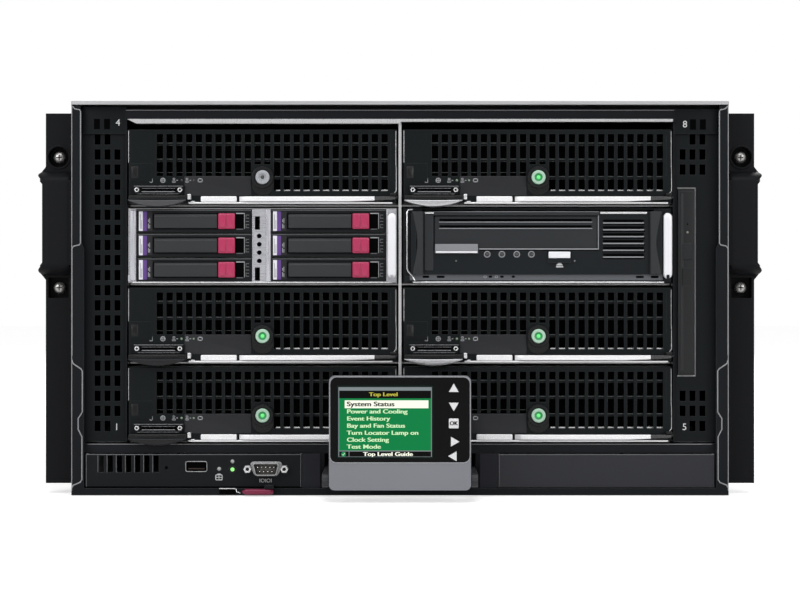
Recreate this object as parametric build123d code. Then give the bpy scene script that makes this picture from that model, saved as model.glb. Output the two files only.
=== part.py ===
from build123d import *
import math
import os

# Six-unit rack enclosure with eight half-height bays, fully populated.
# +X is right, +Y is back, +Z is up; the front of the rack posts is the plane Y = 0,
# and the underside of the enclosure is the plane Z = 0.

# Sheet steel and clearances
SHEET = 1.5
PLATE = 1.2
SEAT_GAP = 0.3
RUN_GAP = 0.5
PIVOT_GAP = 0.1
PIN_FLAT_COUNT = 12
ROUND_FLAT_COUNT = 24
OVERRUN = 1.0

# Bays, from the centre wall outwards
CENTRE_WALL = 2.0
BLADE_SIDE_GAP = 1.2
BLADE_WIDTH = 181.5
BAY_WALL_GAP = 0.6
VENT_WIDTH = 27.0
FLANGE_WIDTH = 8.5

# Bays, from the floor upwards
BAY_ROWS = 4
LIP_HEIGHT = 4.7
TRAY_HEIGHT = 23.1
RAIL_HEIGHT = 6.6
BLADE_HEIGHT = 50.4
BLADE_HEADROOM = 1.6
CROWN_HEIGHT = 15.1

# Depths, from the front edge backwards
FRONT_REACH = 30.0
TRAY_SETBACK = 2.0
BEZEL_SETBACK = 6.0
VENT_SETBACK = 8.0
SHELF_SETBACK = 20.0
BLADE_DEPTH = 479.0
PLUG_DEPTH = 7.0
SOCKET_DEPTH = 8.0
BOARD_THICKNESS = 5.0
REAR_DEPTH = 300.0

# Display and the dock that guides its carriage
DISPLAY_WIDTH = 92.0
DISPLAY_FLOOR = 8.0
DISPLAY_HINGE = 6.0
ARM_THICKNESS = 4.3
ARM_HEIGHT = 9.0
CHEEK_WIDTH = 15.1

# Rack ears
EAR_WIDTH = 20.3
EAR_HOLE_INSET = 8.75
EAR_THICKNESS = 2.5
RACK_UNIT = 44.45
RACK_HOLE_RADIUS = 3.5

# Rear columns
REAR_COLUMN = 200.0
SUPPLY_HEIGHT = 40.0
SUPPLY_ROWS = 3
SWITCH_ROWS = 4
FAN_ROWS = 3
FAN_BLADES = 5
HUB_FLAT_COUNT = 10

# Planes and edges that follow from the sizes above
SHELF_PITCH = BLADE_HEIGHT + SEAT_GAP + PLATE + BLADE_HEADROOM
BAY_INSIDE = CENTRE_WALL / 2 + BLADE_SIDE_GAP
BAY_OUTSIDE = BAY_INSIDE + BLADE_WIDTH
WALL_INSIDE = BAY_OUTSIDE + BAY_WALL_GAP
WALL_OUTSIDE = WALL_INSIDE + PLATE
VENT_OUTSIDE = WALL_OUTSIDE + VENT_WIDTH
HALF_WIDTH = VENT_OUTSIDE + FLANGE_WIDTH
PAN_INSIDE = HALF_WIDTH - SHEET
TRAY_FLOOR = LIP_HEIGHT + SEAT_GAP
RAIL_FLOOR = LIP_HEIGHT + TRAY_HEIGHT
DECK_FLOOR = RAIL_FLOOR + RAIL_HEIGHT
BAY_FLOOR = DECK_FLOOR + PLATE + SEAT_GAP
CROWN_FLOOR = BAY_FLOOR + BAY_ROWS * SHELF_PITCH
HEIGHT = CROWN_FLOOR + CROWN_HEIGHT
COVER_FLOOR = HEIGHT - SHEET
FRONT = -FRONT_REACH
TRAY_FRONT = FRONT + TRAY_SETBACK
BEZEL_FRONT = FRONT + BEZEL_SETBACK
VENT_FRONT = FRONT + VENT_SETBACK
SHELF_FRONT = FRONT + SHELF_SETBACK
BLADE_BACK = BEZEL_FRONT + BLADE_DEPTH
SOCKET_FRONT = BLADE_BACK + PLUG_DEPTH + SEAT_GAP
BOARD_FRONT = SOCKET_FRONT + SOCKET_DEPTH
BOARD_BACK = BOARD_FRONT + BOARD_THICKNESS
MODULE_FRONT = BOARD_BACK + SOCKET_DEPTH + SEAT_GAP + PLUG_DEPTH
BACK = MODULE_FRONT + REAR_DEPTH
ARM_INSIDE = DISPLAY_WIDTH / 2 + SEAT_GAP
CHEEK_INSIDE = ARM_INSIDE + ARM_THICKNESS + SEAT_GAP
CHEEK_OUTSIDE = CHEEK_INSIDE + CHEEK_WIDTH

BAYS = {1: (0, 0), 2: (0, 1), 3: (0, 2), 4: (0, 3), 5: (1, 0), 6: (1, 1), 7: (1, 2), 8: (1, 3)}
SERVER_BAYS = (1, 2, 4, 5, 6, 8)
STORAGE_BAY = 3
TAPE_BAY = 7

os.makedirs("parts", exist_ok=True)


def save(name, *shapes):
    """Write one node, as one solid or as a group of separate ones."""
    solids = [solid for shape in shapes for solid in shape.solids()]
    shape = solids[0] if len(solids) == 1 else Compound(solids)
    export_step(shape, f"parts/{name}.step")


def block(x, y, z):
    """A straight-sided piece between two limits on each axis."""
    centre = Pos((x[0] + x[1]) / 2, (y[0] + y[1]) / 2, (z[0] + z[1]) / 2)
    return centre * Box(abs(x[1] - x[0]), abs(y[1] - y[0]), abs(z[1] - z[0]))


def area(x, z):
    """A rectangle between two limits, for an outline seen from the front."""
    return Pos((x[0] + x[1]) / 2, (z[0] + z[1]) / 2) * Rectangle(abs(x[1] - x[0]), abs(z[1] - z[0]))


def front_slab(outline, front, back):
    """An outline seen from the front, x by z, given depth along Y."""
    plane = Plane((0, back, 0), x_dir=(1, 0, 0), z_dir=(0, -1, 0))
    return extrude(plane * outline, amount=back - front)


def side_slab(outline, left, right):
    """An outline seen from the right, y by z, given width along X."""
    plane = Plane((left, 0, 0), x_dir=(0, 1, 0), z_dir=(1, 0, 0))
    return extrude(plane * outline, amount=right - left)


def flat_slab(outline, floor, top):
    """An outline seen from above, x by y, given height along Z."""
    return extrude(Pos(0, 0, floor) * outline, amount=top - floor)


def polygon(points):
    """A closed outline with straight sides."""
    return make_face(Polyline(*points, close=True))


def many_sided(radius):
    """A small pin's outline, with flats enough to turn in a hole one pivot gap wider."""
    return RegularPolygon(radius, PIN_FLAT_COUNT)


def near_round(radius):
    """A larger round piece's outline, in flats too small to see at its size."""
    return RegularPolygon(radius, ROUND_FLAT_COUNT)


def bay_corner(bay):
    """The left end and the underside of the blade in a numbered bay."""
    column, row = BAYS[bay]
    left = -BAY_OUTSIDE if column == 0 else BAY_INSIDE
    return left, BAY_FLOOR + row * SHELF_PITCH


# Base pan
# One sheet folded into a floor and two side walls, with inward flanges down both front
# corners and a low lip along the floor's front edge.
UPPER_FLANGE = 6.0
FLANGE_JOG = 5.0
FLANGE_JOG_HEIGHT = 130.0


def base_pan():
    outer = area((-HALF_WIDTH, HALF_WIDTH), (0, COVER_FLOOR))
    inner = area((-PAN_INSIDE, PAN_INSIDE), (SHEET, COVER_FLOOR + OVERRUN))
    pan = front_slab(outer - inner, FRONT, BACK)
    jog_floor = BAY_FLOOR + FLANGE_JOG_HEIGHT
    for side in (-1, 1):
        flange = polygon([
            (side * HALF_WIDTH, 0),
            (side * VENT_OUTSIDE, 0),
            (side * VENT_OUTSIDE, jog_floor),
            (side * (HALF_WIDTH - UPPER_FLANGE), jog_floor + FLANGE_JOG),
            (side * (HALF_WIDTH - UPPER_FLANGE), COVER_FLOOR),
            (side * HALF_WIDTH, COVER_FLOOR),
        ])
        pan += front_slab(flange, FRONT, FRONT + SHEET)
    return pan + block((-HALF_WIDTH, HALF_WIDTH), (FRONT, FRONT + SHEET), (0, LIP_HEIGHT))


save("base_pan", base_pan())


# Top cover
# A flat lid on the pan's walls, folded down at the front and the back.
COVER_LIP = 2.4


def top_cover():
    profile = area((FRONT, BACK), (COVER_FLOOR, HEIGHT))
    lid = side_slab(profile, -HALF_WIDTH, HALF_WIDTH)
    lip_floor = HEIGHT - COVER_LIP
    lid += block((-HALF_WIDTH, HALF_WIDTH), (FRONT - SHEET, FRONT), (lip_floor, HEIGHT))
    return lid + block((-HALF_WIDTH, HALF_WIDTH), (BACK, BACK + SHEET), (lip_floor, HEIGHT))


save("top_cover", top_cover())


# Bay dividers
# The centre wall, the two bay walls, the shelves, the deck under the lowest blades, the
# bright lips over the highest ones, and the floor braces that carry the deck.
CROWN_LIP_LEFT = 3.0
CROWN_LIP_RIGHT = 1.8
CROWN_LIP_SLOPE = 6.0
BRACE_WIDTH = 12.0
BRACE_PLACE_SHARES = (0.45, 0.85)
BRACE_START_SHARE = 0.7


def bay_dividers():
    half_wall = CENTRE_WALL / 2
    rise = (DECK_FLOOR + PLATE, CROWN_FLOOR + SEAT_GAP + CROWN_LIP_LEFT)
    pieces = [block((-half_wall, half_wall), (BEZEL_FRONT, BLADE_BACK), rise)]
    for side in (-1, 1):
        wall = (side * WALL_INSIDE, side * WALL_OUTSIDE)
        pieces.append(block(wall, (BEZEL_FRONT, BLADE_BACK), rise))
        deck = (DECK_FLOOR, DECK_FLOOR + PLATE)
        pieces.append(block((0, side * PAN_INSIDE), (SHELF_FRONT, BLADE_BACK), deck))
        for row in range(1, BAY_ROWS):
            top = BAY_FLOOR + row * SHELF_PITCH - SEAT_GAP
            ends = (side * half_wall, side * WALL_INSIDE)
            pieces.append(block(ends, (SHELF_FRONT, BLADE_BACK), (top - PLATE, top)))
        for share in BRACE_PLACE_SHARES:
            place = share * PAN_INSIDE * side
            depth = (BEZEL_FRONT + BLADE_DEPTH * BRACE_START_SHARE, BLADE_BACK)
            brace = (place - BRACE_WIDTH / 2, place + BRACE_WIDTH / 2)
            pieces.append(block(brace, depth, (SHEET, DECK_FLOOR)))
    lip_depth = (TRAY_FRONT, BEZEL_FRONT)
    top = CROWN_FLOOR + SEAT_GAP + CROWN_LIP_LEFT
    left_lip = polygon([
        (-BAY_OUTSIDE + CROWN_LIP_SLOPE, top - CROWN_LIP_LEFT),
        (0, top - CROWN_LIP_LEFT),
        (0, top),
        (-BAY_OUTSIDE, top),
    ])
    pieces.append(front_slab(left_lip, *lip_depth))
    pieces.append(block((0, WALL_OUTSIDE), lip_depth, (top - CROWN_LIP_RIGHT, top)))
    return pieces


save("bay_dividers", *bay_dividers())


# Front rails
# Folded rails across the front, above and below the bays, and the two cheeks that guide
# the display carriage in its dock.
RAIL_SETBACK = 6.4
RAIL_DEPTH = 12.0
CROWN_RAIL = 7.0
CHEEK_DEPTH = 90.0
CHEEK_BEVEL = 3.0
RUNNER_WIDTH = 2.5
RUNNER_HEIGHT = 2.0


def folded_profile(points):
    """A folded sheet seen from the side: its middle line given the plate's thickness."""
    return trace(Polyline(*points), line_width=PLATE)


def front_rails():
    face = FRONT + RAIL_SETBACK
    half = PLATE / 2
    lower = folded_profile([
        (face + RAIL_DEPTH, DECK_FLOOR - half),
        (face + half, DECK_FLOOR - half),
        (face + half, RAIL_FLOOR + half),
        (face + RAIL_DEPTH, RAIL_FLOOR + half),
    ])
    floor = CROWN_FLOOR + SEAT_GAP + CROWN_LIP_LEFT
    upper = folded_profile([
        (face + RAIL_DEPTH, floor + half),
        (face + half, floor + half),
        (face + half, floor + CROWN_RAIL - half),
        (face + RAIL_DEPTH, floor + CROWN_RAIL - half),
        (face + RAIL_DEPTH, COVER_FLOOR),
    ])
    pieces = [side_slab(lower, -PAN_INSIDE, PAN_INSIDE), side_slab(upper, -PAN_INSIDE, PAN_INSIDE)]
    for side in (-1, 1):
        plan = polygon([
            (side * CHEEK_OUTSIDE, TRAY_FRONT),
            (side * (CHEEK_INSIDE + CHEEK_BEVEL), TRAY_FRONT),
            (side * CHEEK_INSIDE, TRAY_FRONT + CHEEK_BEVEL),
            (side * CHEEK_INSIDE, TRAY_FRONT + CHEEK_DEPTH),
            (side * CHEEK_OUTSIDE, TRAY_FRONT + CHEEK_DEPTH),
        ])
        cheek = flat_slab(plan, SHEET, RAIL_FLOOR)
        runner_top = DISPLAY_FLOOR + DISPLAY_HINGE - ARM_HEIGHT / 2 - SEAT_GAP
        runner = block((side * (CHEEK_INSIDE - RUNNER_WIDTH), side * (CHEEK_INSIDE + PLATE)),
                       (TRAY_FRONT + CHEEK_BEVEL, TRAY_FRONT + CHEEK_DEPTH - CHEEK_BEVEL),
                       (runner_top - RUNNER_HEIGHT, runner_top))
        pieces.append(cheek + runner)
    return pieces


save("front_rails", *front_rails())


# Vent panels
# A flat panel each side of the bays, pierced by rows of upright slots. The right one also
# frames the upright disc drive, so its slots stay above and below the drive.
SLOT_WIDTH = 4.0
SLOT_HEIGHT = 7.0
SLOT_PITCH_X = 6.7
SLOT_PITCH_Z = 10.2
SLOT_INSET = 5.6
SLOT_COLUMNS = 3
LOWEST_SLOT = 10.2
HIGHEST_SLOT = 8.2
DRIVE_WIDTH = 12.7
DRIVE_HEIGHT = 128.0
DRIVE_DEPTH = 127.0
DRIVE_FLOOR = 79.5
DRIVE_SIDE = 2.0


def vent_slots(rows, side, numbered_rows):
    """The slots of one panel: places along each row, leaving one free beside the bays' numbers."""
    slots = []
    for row in rows:
        for column in range(SLOT_COLUMNS):
            numbered = row in numbered_rows and column == 0
            if not numbered:
                x = side * (WALL_OUTSIDE + SLOT_INSET + column * SLOT_PITCH_X)
                z = BAY_FLOOR + LOWEST_SLOT + row * SLOT_PITCH_Z
                slots.append(Pos(x, z) * Rectangle(SLOT_WIDTH, SLOT_HEIGHT))
    return slots


def vent_panel(side):
    top = CROWN_FLOOR
    count = 1 + int((top - HIGHEST_SLOT - BAY_FLOOR - LOWEST_SLOT) / SLOT_PITCH_Z)
    rows = range(count)
    panel = area((side * WALL_OUTSIDE, side * PAN_INSIDE), (DECK_FLOOR + PLATE, top))
    if side > 0:
        below = DRIVE_FLOOR - SLOT_HEIGHT
        above = DRIVE_FLOOR + DRIVE_HEIGHT + SLOT_HEIGHT
        places = {row: BAY_FLOOR + LOWEST_SLOT + row * SLOT_PITCH_Z for row in rows}
        rows = [row for row, z in places.items() if z < below or z > above]
        left = WALL_OUTSIDE + DRIVE_SIDE
        panel -= area((left, left + DRIVE_WIDTH), (DRIVE_FLOOR, DRIVE_FLOOR + DRIVE_HEIGHT))
    panel -= vent_slots(rows, side, (0, count - 1))
    return front_slab(panel, VENT_FRONT, VENT_FRONT + SHEET)


save("left_vent_panel", vent_panel(-1))
save("right_vent_panel", vent_panel(1))


# Disc drive
# A slim tray-loading drive on edge in the right panel: a fixed shell, and a tray whose
# long narrow bezel fills the cut-out.
DRIVE_SHELL = 0.8
TRAY_THICKNESS = 5.0
DISC_RADIUS = 60.3
DISC_RECESS = 1.8
SPINDLE_RADIUS = 7.4
BEZEL_THICKNESS = 4.0
EJECT_WIDTH = 7.5
EJECT_HEIGHT = 12.0
EJECT_PROUD = 0.8
EJECT_PLACE_SHARE = 0.48


def optical_drive_case():
    left = WALL_OUTSIDE
    right = left + DRIVE_SIDE + DRIVE_WIDTH
    floor = DRIVE_FLOOR
    top = floor + DRIVE_HEIGHT
    behind = VENT_FRONT + SHEET
    shell = block((left, right), (behind, behind + DRIVE_DEPTH), (floor, top))
    hollow = block((left + DRIVE_SHELL, right - DRIVE_SHELL),
                   (behind - OVERRUN, behind + DRIVE_DEPTH - DRIVE_SHELL),
                   (floor + DRIVE_SHELL, top - DRIVE_SHELL))
    return shell - hollow


def optical_tray():
    left = WALL_OUTSIDE + DRIVE_SIDE + SEAT_GAP
    right = WALL_OUTSIDE + DRIVE_SIDE + DRIVE_WIDTH - DRIVE_SHELL - SEAT_GAP
    floor = DRIVE_FLOOR + DRIVE_SHELL + SEAT_GAP
    top = DRIVE_FLOOR + DRIVE_HEIGHT - DRIVE_SHELL - SEAT_GAP
    front = BEZEL_FRONT
    behind = front + BEZEL_THICKNESS
    back = VENT_FRONT + SHEET + DRIVE_DEPTH - DRIVE_SHELL - SEAT_GAP
    bezel = block((left, right), (front, behind), (floor, top))
    tray_face = right - TRAY_THICKNESS
    tray = block((tray_face, right), (behind, back), (floor, top))
    middle = ((behind + back) / 2, (floor + top) / 2)
    recess = Pos(*middle) * Circle(DISC_RADIUS)
    tray -= side_slab(recess, tray_face - OVERRUN, tray_face + DISC_RECESS)
    spindle = side_slab(Pos(*middle) * many_sided(SPINDLE_RADIUS), tray_face, tray_face + DISC_RECESS)
    eject_floor = floor + (top - floor) * EJECT_PLACE_SHARE
    centre = (left + right) / 2
    eject = block((centre - EJECT_WIDTH / 2, centre + EJECT_WIDTH / 2), (front - EJECT_PROUD, front),
                  (eject_floor, eject_floor + EJECT_HEIGHT))
    return bezel + tray + spindle + eject


save("optical_drive_case", optical_drive_case())
save("optical_tray", optical_tray())


# Rack ears
# A steel angle on each side wall, with a moulded cover over its front. The cover swells
# into a pull grip between the two rack holes and flares past the ear at the grip's ends.
EAR_FLOOR = 6.6
EAR_RETURN = 60.0
EAR_COVER = 9.0
GRIP_FLOOR = 150.0
GRIP_HEIGHT = 67.0
GRIP_PROUD = 15.0
GRIP_FLARE = 4.0
GRIP_LIP = 5.0
HOLE_PAIR = 2 * RACK_UNIT
LOW_HOLE = 139.7
SCREW_RECESS = 7.0


def rack_holes(side):
    """The centres of one ear's rack holes, seen from the front."""
    x = side * (HALF_WIDTH + EAR_WIDTH - EAR_HOLE_INSET)
    return [(x, LOW_HOLE), (x, LOW_HOLE + HOLE_PAIR)]


def rack_ear(side):
    inner = side * HALF_WIDTH
    outer = side * (HALF_WIDTH + EAR_WIDTH)
    holes = [Pos(x, z) * Circle(RACK_HOLE_RADIUS) for x, z in rack_holes(side)]
    (low_x, low_z), (high_x, high_z) = rack_holes(side)
    recesses = [
        Pos(low_x, low_z) * Rectangle(2 * SCREW_RECESS, 2 * SCREW_RECESS),
        Pos(high_x, high_z) * near_round(SCREW_RECESS),
    ]
    top = HEIGHT - EAR_FLOOR
    plate = front_slab(area((inner, outer), (EAR_FLOOR, top)) - holes, -EAR_THICKNESS, 0)
    plate += block((inner, inner + side * PLATE), (-EAR_THICKNESS, EAR_RETURN), (EAR_FLOOR, top))
    grip_top = GRIP_FLOOR + GRIP_HEIGHT
    flare = outer + side * GRIP_FLARE
    cover_outline = polygon([
        (inner, EAR_FLOOR),
        (outer, EAR_FLOOR),
        (outer, GRIP_FLOOR - GRIP_LIP),
        (flare, GRIP_FLOOR),
        (flare, GRIP_FLOOR + GRIP_LIP),
        (outer, GRIP_FLOOR + 2 * GRIP_LIP),
        (outer, grip_top - 2 * GRIP_LIP),
        (flare, grip_top - GRIP_LIP),
        (flare, grip_top),
        (outer, grip_top + GRIP_LIP),
        (outer, top),
        (inner, top),
    ])
    cover = front_slab(cover_outline - recesses, -EAR_THICKNESS - EAR_COVER, -EAR_THICKNESS)
    face = -EAR_THICKNESS - EAR_COVER
    grip_profile = polygon([
        (face, GRIP_FLOOR),
        (face - GRIP_PROUD, GRIP_FLOOR + GRIP_LIP),
        (face - GRIP_PROUD, grip_top - GRIP_LIP),
        (face, grip_top),
    ])
    grip = side_slab(grip_profile, min(inner, outer), max(inner, outer))
    return [plate, cover + grip]


save("left_rack_ear", *rack_ear(-1))
save("right_rack_ear", *rack_ear(1))


# Server blades
# A folded steel case with a moulded bezel. Upright slots pierce the bezel, with set-back
# cross bars behind them. Inside are the system board, two finned heat sinks, the memory
# and the plug that meets the midplane.
CASE_SHEET = 0.9
BEZEL_PLATE = 3.0
BEZEL_RIM = 0.7
GRILLE_COLUMNS = 24
GRILLE_LOW_COLUMNS = 12
GRILLE_LEFT = 19.3
GRILLE_PITCH = 6.6
GRILLE_SLOT = 4.4
GRILLE_TOP = 47.0
GRILLE_FLOOR = 18.6
GRILLE_LOW_FLOOR = 8.5
GRILLE_OVER_BUTTON = 26.5
BAR_FLOORS = (28.4, 39.3, 16.6)
BAR_HEIGHT = 2.0
BAR_DEPTH = 1.2
BUTTON_X = 91.1
BUTTON_Z = 17.6
BUTTON_RADIUS = 4.8
BOSS_RADIUS = 7.3
BOSS_PROUD = 4.0
BUTTON_PROUD = 0.8
BUTTON_STEM = 4.0
BUTTON_DEPTH = 12.0
PORT_LEFT = 3.7
PORT_WIDTH = 34.4
PORT_FLOOR = 6.4
PORT_HEIGHT = 5.4
PORT_PROUD = 3.0
PORT_SLOPE = 1.6
PORT_WALL = 1.1
TAB_LEFT = 1.0
TAB_WIDTH = 38.5
TAB_FLOOR = -2.4
TAB_PROUD = 7.0
TAB_THICKNESS = 1.0
TAB_END_RISE = 4.4
TAB_CORNER_SHARES = (-1.0, -0.7, -0.35, 0.0, 0.35, 0.7, 1.0)
LEVER_LEFT = 75.3
LEVER_PIVOT = 180.0
LEVER_FLOOR = 1.2
LEVER_HEIGHT = 3.5
LEVER_DEPTH = 4.6
LEVER_TIP_DEPTH = 2.6
LEVER_CORNER = 45.0
LEVER_PIN_RADIUS = 1.2
LUG_WIDTH = 6.0
LUG_HEIGHT = 1.4
RELEASE_LEFT = 49.6
RELEASE_WIDTH = 23.6
RELEASE_PROUD = 2.4
BOARD_SHEET = 1.6
BOARD_STAND = 4.0
SINK_WIDTH = 60.0
SINK_DEPTH = 80.0
SINK_HEIGHT = 26.0
SINK_FINS = 3
SINK_BASE = 4.0
SINK_FIN = 6.0
SINK_PLACE_SHARES = (0.45, 0.68)
MEMORY_STICKS = 2
MEMORY_PITCH = 14.0
MEMORY_THICKNESS = 3.0
MEMORY_HEIGHT = 24.0
MEMORY_LENGTH = 133.0
MEMORY_PLACE_SHARES = (0.12, 0.78)
MEMORY_START_SHARE = 0.42
CAGE_WIDTH = 73.0
CAGE_DEPTH = 110.0
CAGE_HEIGHT = 16.0
CAGE_SETBACK = 16.0
CAGE_PLACE_SHARE = 0.5
PLUG_WIDTH = 90.0
PLUG_HEIGHT = 16.0


def lever_lane():
    """The lever's middle line in depth, one seat gap ahead of the bezel."""
    return BEZEL_FRONT - SEAT_GAP - LEVER_DEPTH / 2


def blade_bezel():
    """The pierced plate with its button boss and lever lugs, from the blade's own corner."""
    plate = area((BEZEL_RIM, BLADE_WIDTH - BEZEL_RIM), (BEZEL_RIM, BLADE_HEIGHT - BEZEL_RIM))
    slots = []
    for column in range(GRILLE_COLUMNS):
        left = GRILLE_LEFT + column * GRILLE_PITCH
        floor = GRILLE_FLOOR
        if column >= GRILLE_COLUMNS - GRILLE_LOW_COLUMNS:
            floor = GRILLE_LOW_FLOOR
        if abs(left + GRILLE_SLOT / 2 - BUTTON_X) < BOSS_RADIUS:
            floor = GRILLE_OVER_BUTTON
        slots.append(area((left, left + GRILLE_SLOT), (floor, GRILLE_TOP)))
    button_hole = near_round(BUTTON_RADIUS + SEAT_GAP)
    plate = plate - slots - Pos(BUTTON_X, BUTTON_Z) * button_hole
    bezel = front_slab(plate, BEZEL_FRONT, BEZEL_FRONT + BEZEL_PLATE)
    ring = Pos(BUTTON_X, BUTTON_Z) * (near_round(BOSS_RADIUS) - button_hole)
    bezel += front_slab(ring, BEZEL_FRONT - BOSS_PROUD, BEZEL_FRONT)
    lug = (LEVER_PIVOT - LUG_WIDTH / 2, BLADE_WIDTH - BEZEL_RIM)
    reach = (BEZEL_FRONT - SEAT_GAP - LEVER_DEPTH, BEZEL_FRONT)
    over = LEVER_FLOOR + LEVER_HEIGHT + SEAT_GAP
    bezel += block(lug, reach, (over, over + LUG_HEIGHT))
    hole = Pos(LEVER_PIVOT, lever_lane()) * many_sided(LEVER_PIN_RADIUS + PIVOT_GAP)
    return bezel - flat_slab(hole, over - OVERRUN, over + LUG_HEIGHT + OVERRUN)


def blade_front_fittings():
    """The service port over its drop-down tab, the release key and the cross bars."""
    port = polygon([
        (PORT_LEFT, PORT_FLOOR + PORT_HEIGHT),
        (PORT_LEFT + PORT_SLOPE, PORT_FLOOR),
        (PORT_LEFT + PORT_WIDTH - PORT_SLOPE, PORT_FLOOR),
        (PORT_LEFT + PORT_WIDTH, PORT_FLOOR + PORT_HEIGHT),
    ])
    mouth = offset(port, -PORT_WALL, kind=Kind.INTERSECTION)
    shell = front_slab(port - mouth, BEZEL_FRONT - PORT_PROUD, BEZEL_FRONT)
    right = TAB_LEFT + TAB_WIDTH
    middle = TAB_LEFT + TAB_WIDTH / 2
    lower_edge = []
    for share in TAB_CORNER_SHARES:
        rise = TAB_END_RISE * share ** 2
        lower_edge.append((middle + share * TAB_WIDTH / 2, TAB_FLOOR + rise))
    sill = polygon([*lower_edge, (right, TAB_FLOOR + TAB_END_RISE + TAB_THICKNESS),
                    (TAB_LEFT, TAB_FLOOR + TAB_END_RISE + TAB_THICKNESS)])
    tab = front_slab(sill, BEZEL_FRONT - TAB_PROUD, BEZEL_FRONT)
    release = block((RELEASE_LEFT, RELEASE_LEFT + RELEASE_WIDTH),
                    (BEZEL_FRONT - RELEASE_PROUD, BEZEL_FRONT),
                    (LEVER_FLOOR, LEVER_FLOOR + LEVER_HEIGHT))
    back = BEZEL_FRONT + BEZEL_PLATE
    grille_right = GRILLE_LEFT + GRILLE_COLUMNS * GRILLE_PITCH
    low_left = GRILLE_LEFT + (GRILLE_COLUMNS - GRILLE_LOW_COLUMNS) * GRILLE_PITCH
    bars = []
    for floor in BAR_FLOORS:
        left = low_left if floor < GRILLE_FLOOR else GRILLE_LEFT
        bars.append(block((left, grille_right), (back, back + BAR_DEPTH), (floor, floor + BAR_HEIGHT)))
    return [shell, tab, release, *bars]


def heat_sink(width, depth, height):
    """A finned block: a comb outline carried from front to back."""
    comb = area((0, width), (0, SINK_BASE))
    step = (width - SINK_FIN) / (SINK_FINS - 1)
    for fin in range(SINK_FINS):
        comb += area((fin * step, fin * step + SINK_FIN), (0, height))
    return front_slab(comb, 0, depth)


def blade_plug():
    """The plug at a blade's back that meets the midplane, from the blade's own corner."""
    middle = BLADE_WIDTH / 2
    floor = BOARD_STAND + BOARD_SHEET
    return block((middle - PLUG_WIDTH / 2, middle + PLUG_WIDTH / 2), (BLADE_BACK, BLADE_BACK + PLUG_DEPTH),
                 (floor, floor + PLUG_HEIGHT))


def blade_internals():
    """What the case holds: board, heat sinks, memory, disc cage and the rear plug."""
    front = BEZEL_FRONT + BEZEL_PLATE
    board_top = BOARD_STAND + BOARD_SHEET
    inside = (CASE_SHEET + SEAT_GAP, BLADE_WIDTH - CASE_SHEET - SEAT_GAP)
    board = block(inside, (front + BOARD_STAND, BLADE_BACK), (CASE_SHEET, board_top))
    pieces = [board]
    for share in SINK_PLACE_SHARES:
        place = Pos((BLADE_WIDTH - SINK_WIDTH) / 2, BEZEL_FRONT + share * BLADE_DEPTH, board_top)
        pieces.append(place * heat_sink(SINK_WIDTH, SINK_DEPTH, SINK_HEIGHT))
    for share in MEMORY_PLACE_SHARES:
        for stick in range(MEMORY_STICKS):
            left = share * BLADE_WIDTH + stick * MEMORY_PITCH
            start = BEZEL_FRONT + MEMORY_START_SHARE * BLADE_DEPTH
            pieces.append(block((left, left + MEMORY_THICKNESS), (start, start + MEMORY_LENGTH),
                                (board_top, board_top + MEMORY_HEIGHT)))
    cage_left = (BLADE_WIDTH - CAGE_WIDTH) * CAGE_PLACE_SHARE
    cage_front = front + CAGE_SETBACK
    pieces.append(block((cage_left, cage_left + CAGE_WIDTH), (cage_front, cage_front + CAGE_DEPTH),
                        (board_top, board_top + CAGE_HEIGHT)))
    pieces.append(blade_plug())
    return pieces


def blade_case(open_front):
    """The folded steel case of one blade, open at the front."""
    outside = block((0, BLADE_WIDTH), (open_front, BLADE_BACK), (0, BLADE_HEIGHT))
    inside = block((CASE_SHEET, BLADE_WIDTH - CASE_SHEET), (open_front - OVERRUN, BLADE_BACK - CASE_SHEET),
                   (CASE_SHEET, BLADE_HEIGHT - CASE_SHEET))
    return outside - inside


def blade_lever():
    """The long cam lever: a tapering bar with its corners cut off round the pivot pin."""
    lane = lever_lane()
    near = lane - LEVER_DEPTH / 2
    far = lane + LEVER_DEPTH / 2
    side = LEVER_DEPTH / 2 * math.tan(math.radians(LEVER_CORNER / 2))
    end = LEVER_PIVOT + LEVER_DEPTH / 2
    plan = polygon([
        (LEVER_LEFT, far - LEVER_TIP_DEPTH),
        (LEVER_LEFT + LEVER_DEPTH, near),
        (LEVER_PIVOT + side, near),
        (end, lane - side),
        (end, lane + side),
        (LEVER_PIVOT + side, far),
        (LEVER_LEFT, far),
    ])
    bar = flat_slab(plan, LEVER_FLOOR, LEVER_FLOOR + LEVER_HEIGHT)
    high = LEVER_FLOOR + LEVER_HEIGHT + SEAT_GAP + LUG_HEIGHT
    return bar + flat_slab(Pos(LEVER_PIVOT, lane) * many_sided(LEVER_PIN_RADIUS), LEVER_FLOOR, high)


def power_button():
    """A round cap on a square stem, standing just proud of its boss."""
    front = BEZEL_FRONT - BOSS_PROUD - BUTTON_PROUD
    face = BEZEL_FRONT + BEZEL_PLATE
    cap = front_slab(Pos(BUTTON_X, BUTTON_Z) * near_round(BUTTON_RADIUS), front, face)
    half = BUTTON_STEM / 2
    stem = block((BUTTON_X - half, BUTTON_X + half), (face, face + BUTTON_DEPTH),
                 (BUTTON_Z - half, BUTTON_Z + half))
    return cap + stem


bezel = blade_bezel()
case = blade_case(BEZEL_FRONT + BEZEL_PLATE)
fittings = blade_front_fittings()
internals = blade_internals()
lever = blade_lever()
button = power_button()
for bay in SERVER_BAYS:
    x, z = bay_corner(bay)
    place = Pos(x, 0, z)
    save(f"server_blade_{bay}", *[place * piece for piece in (case, bezel, *fittings, *internals)])
    save(f"blade_lever_{bay}", place * lever)
    save(f"power_button_{bay}", place * button)


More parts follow.
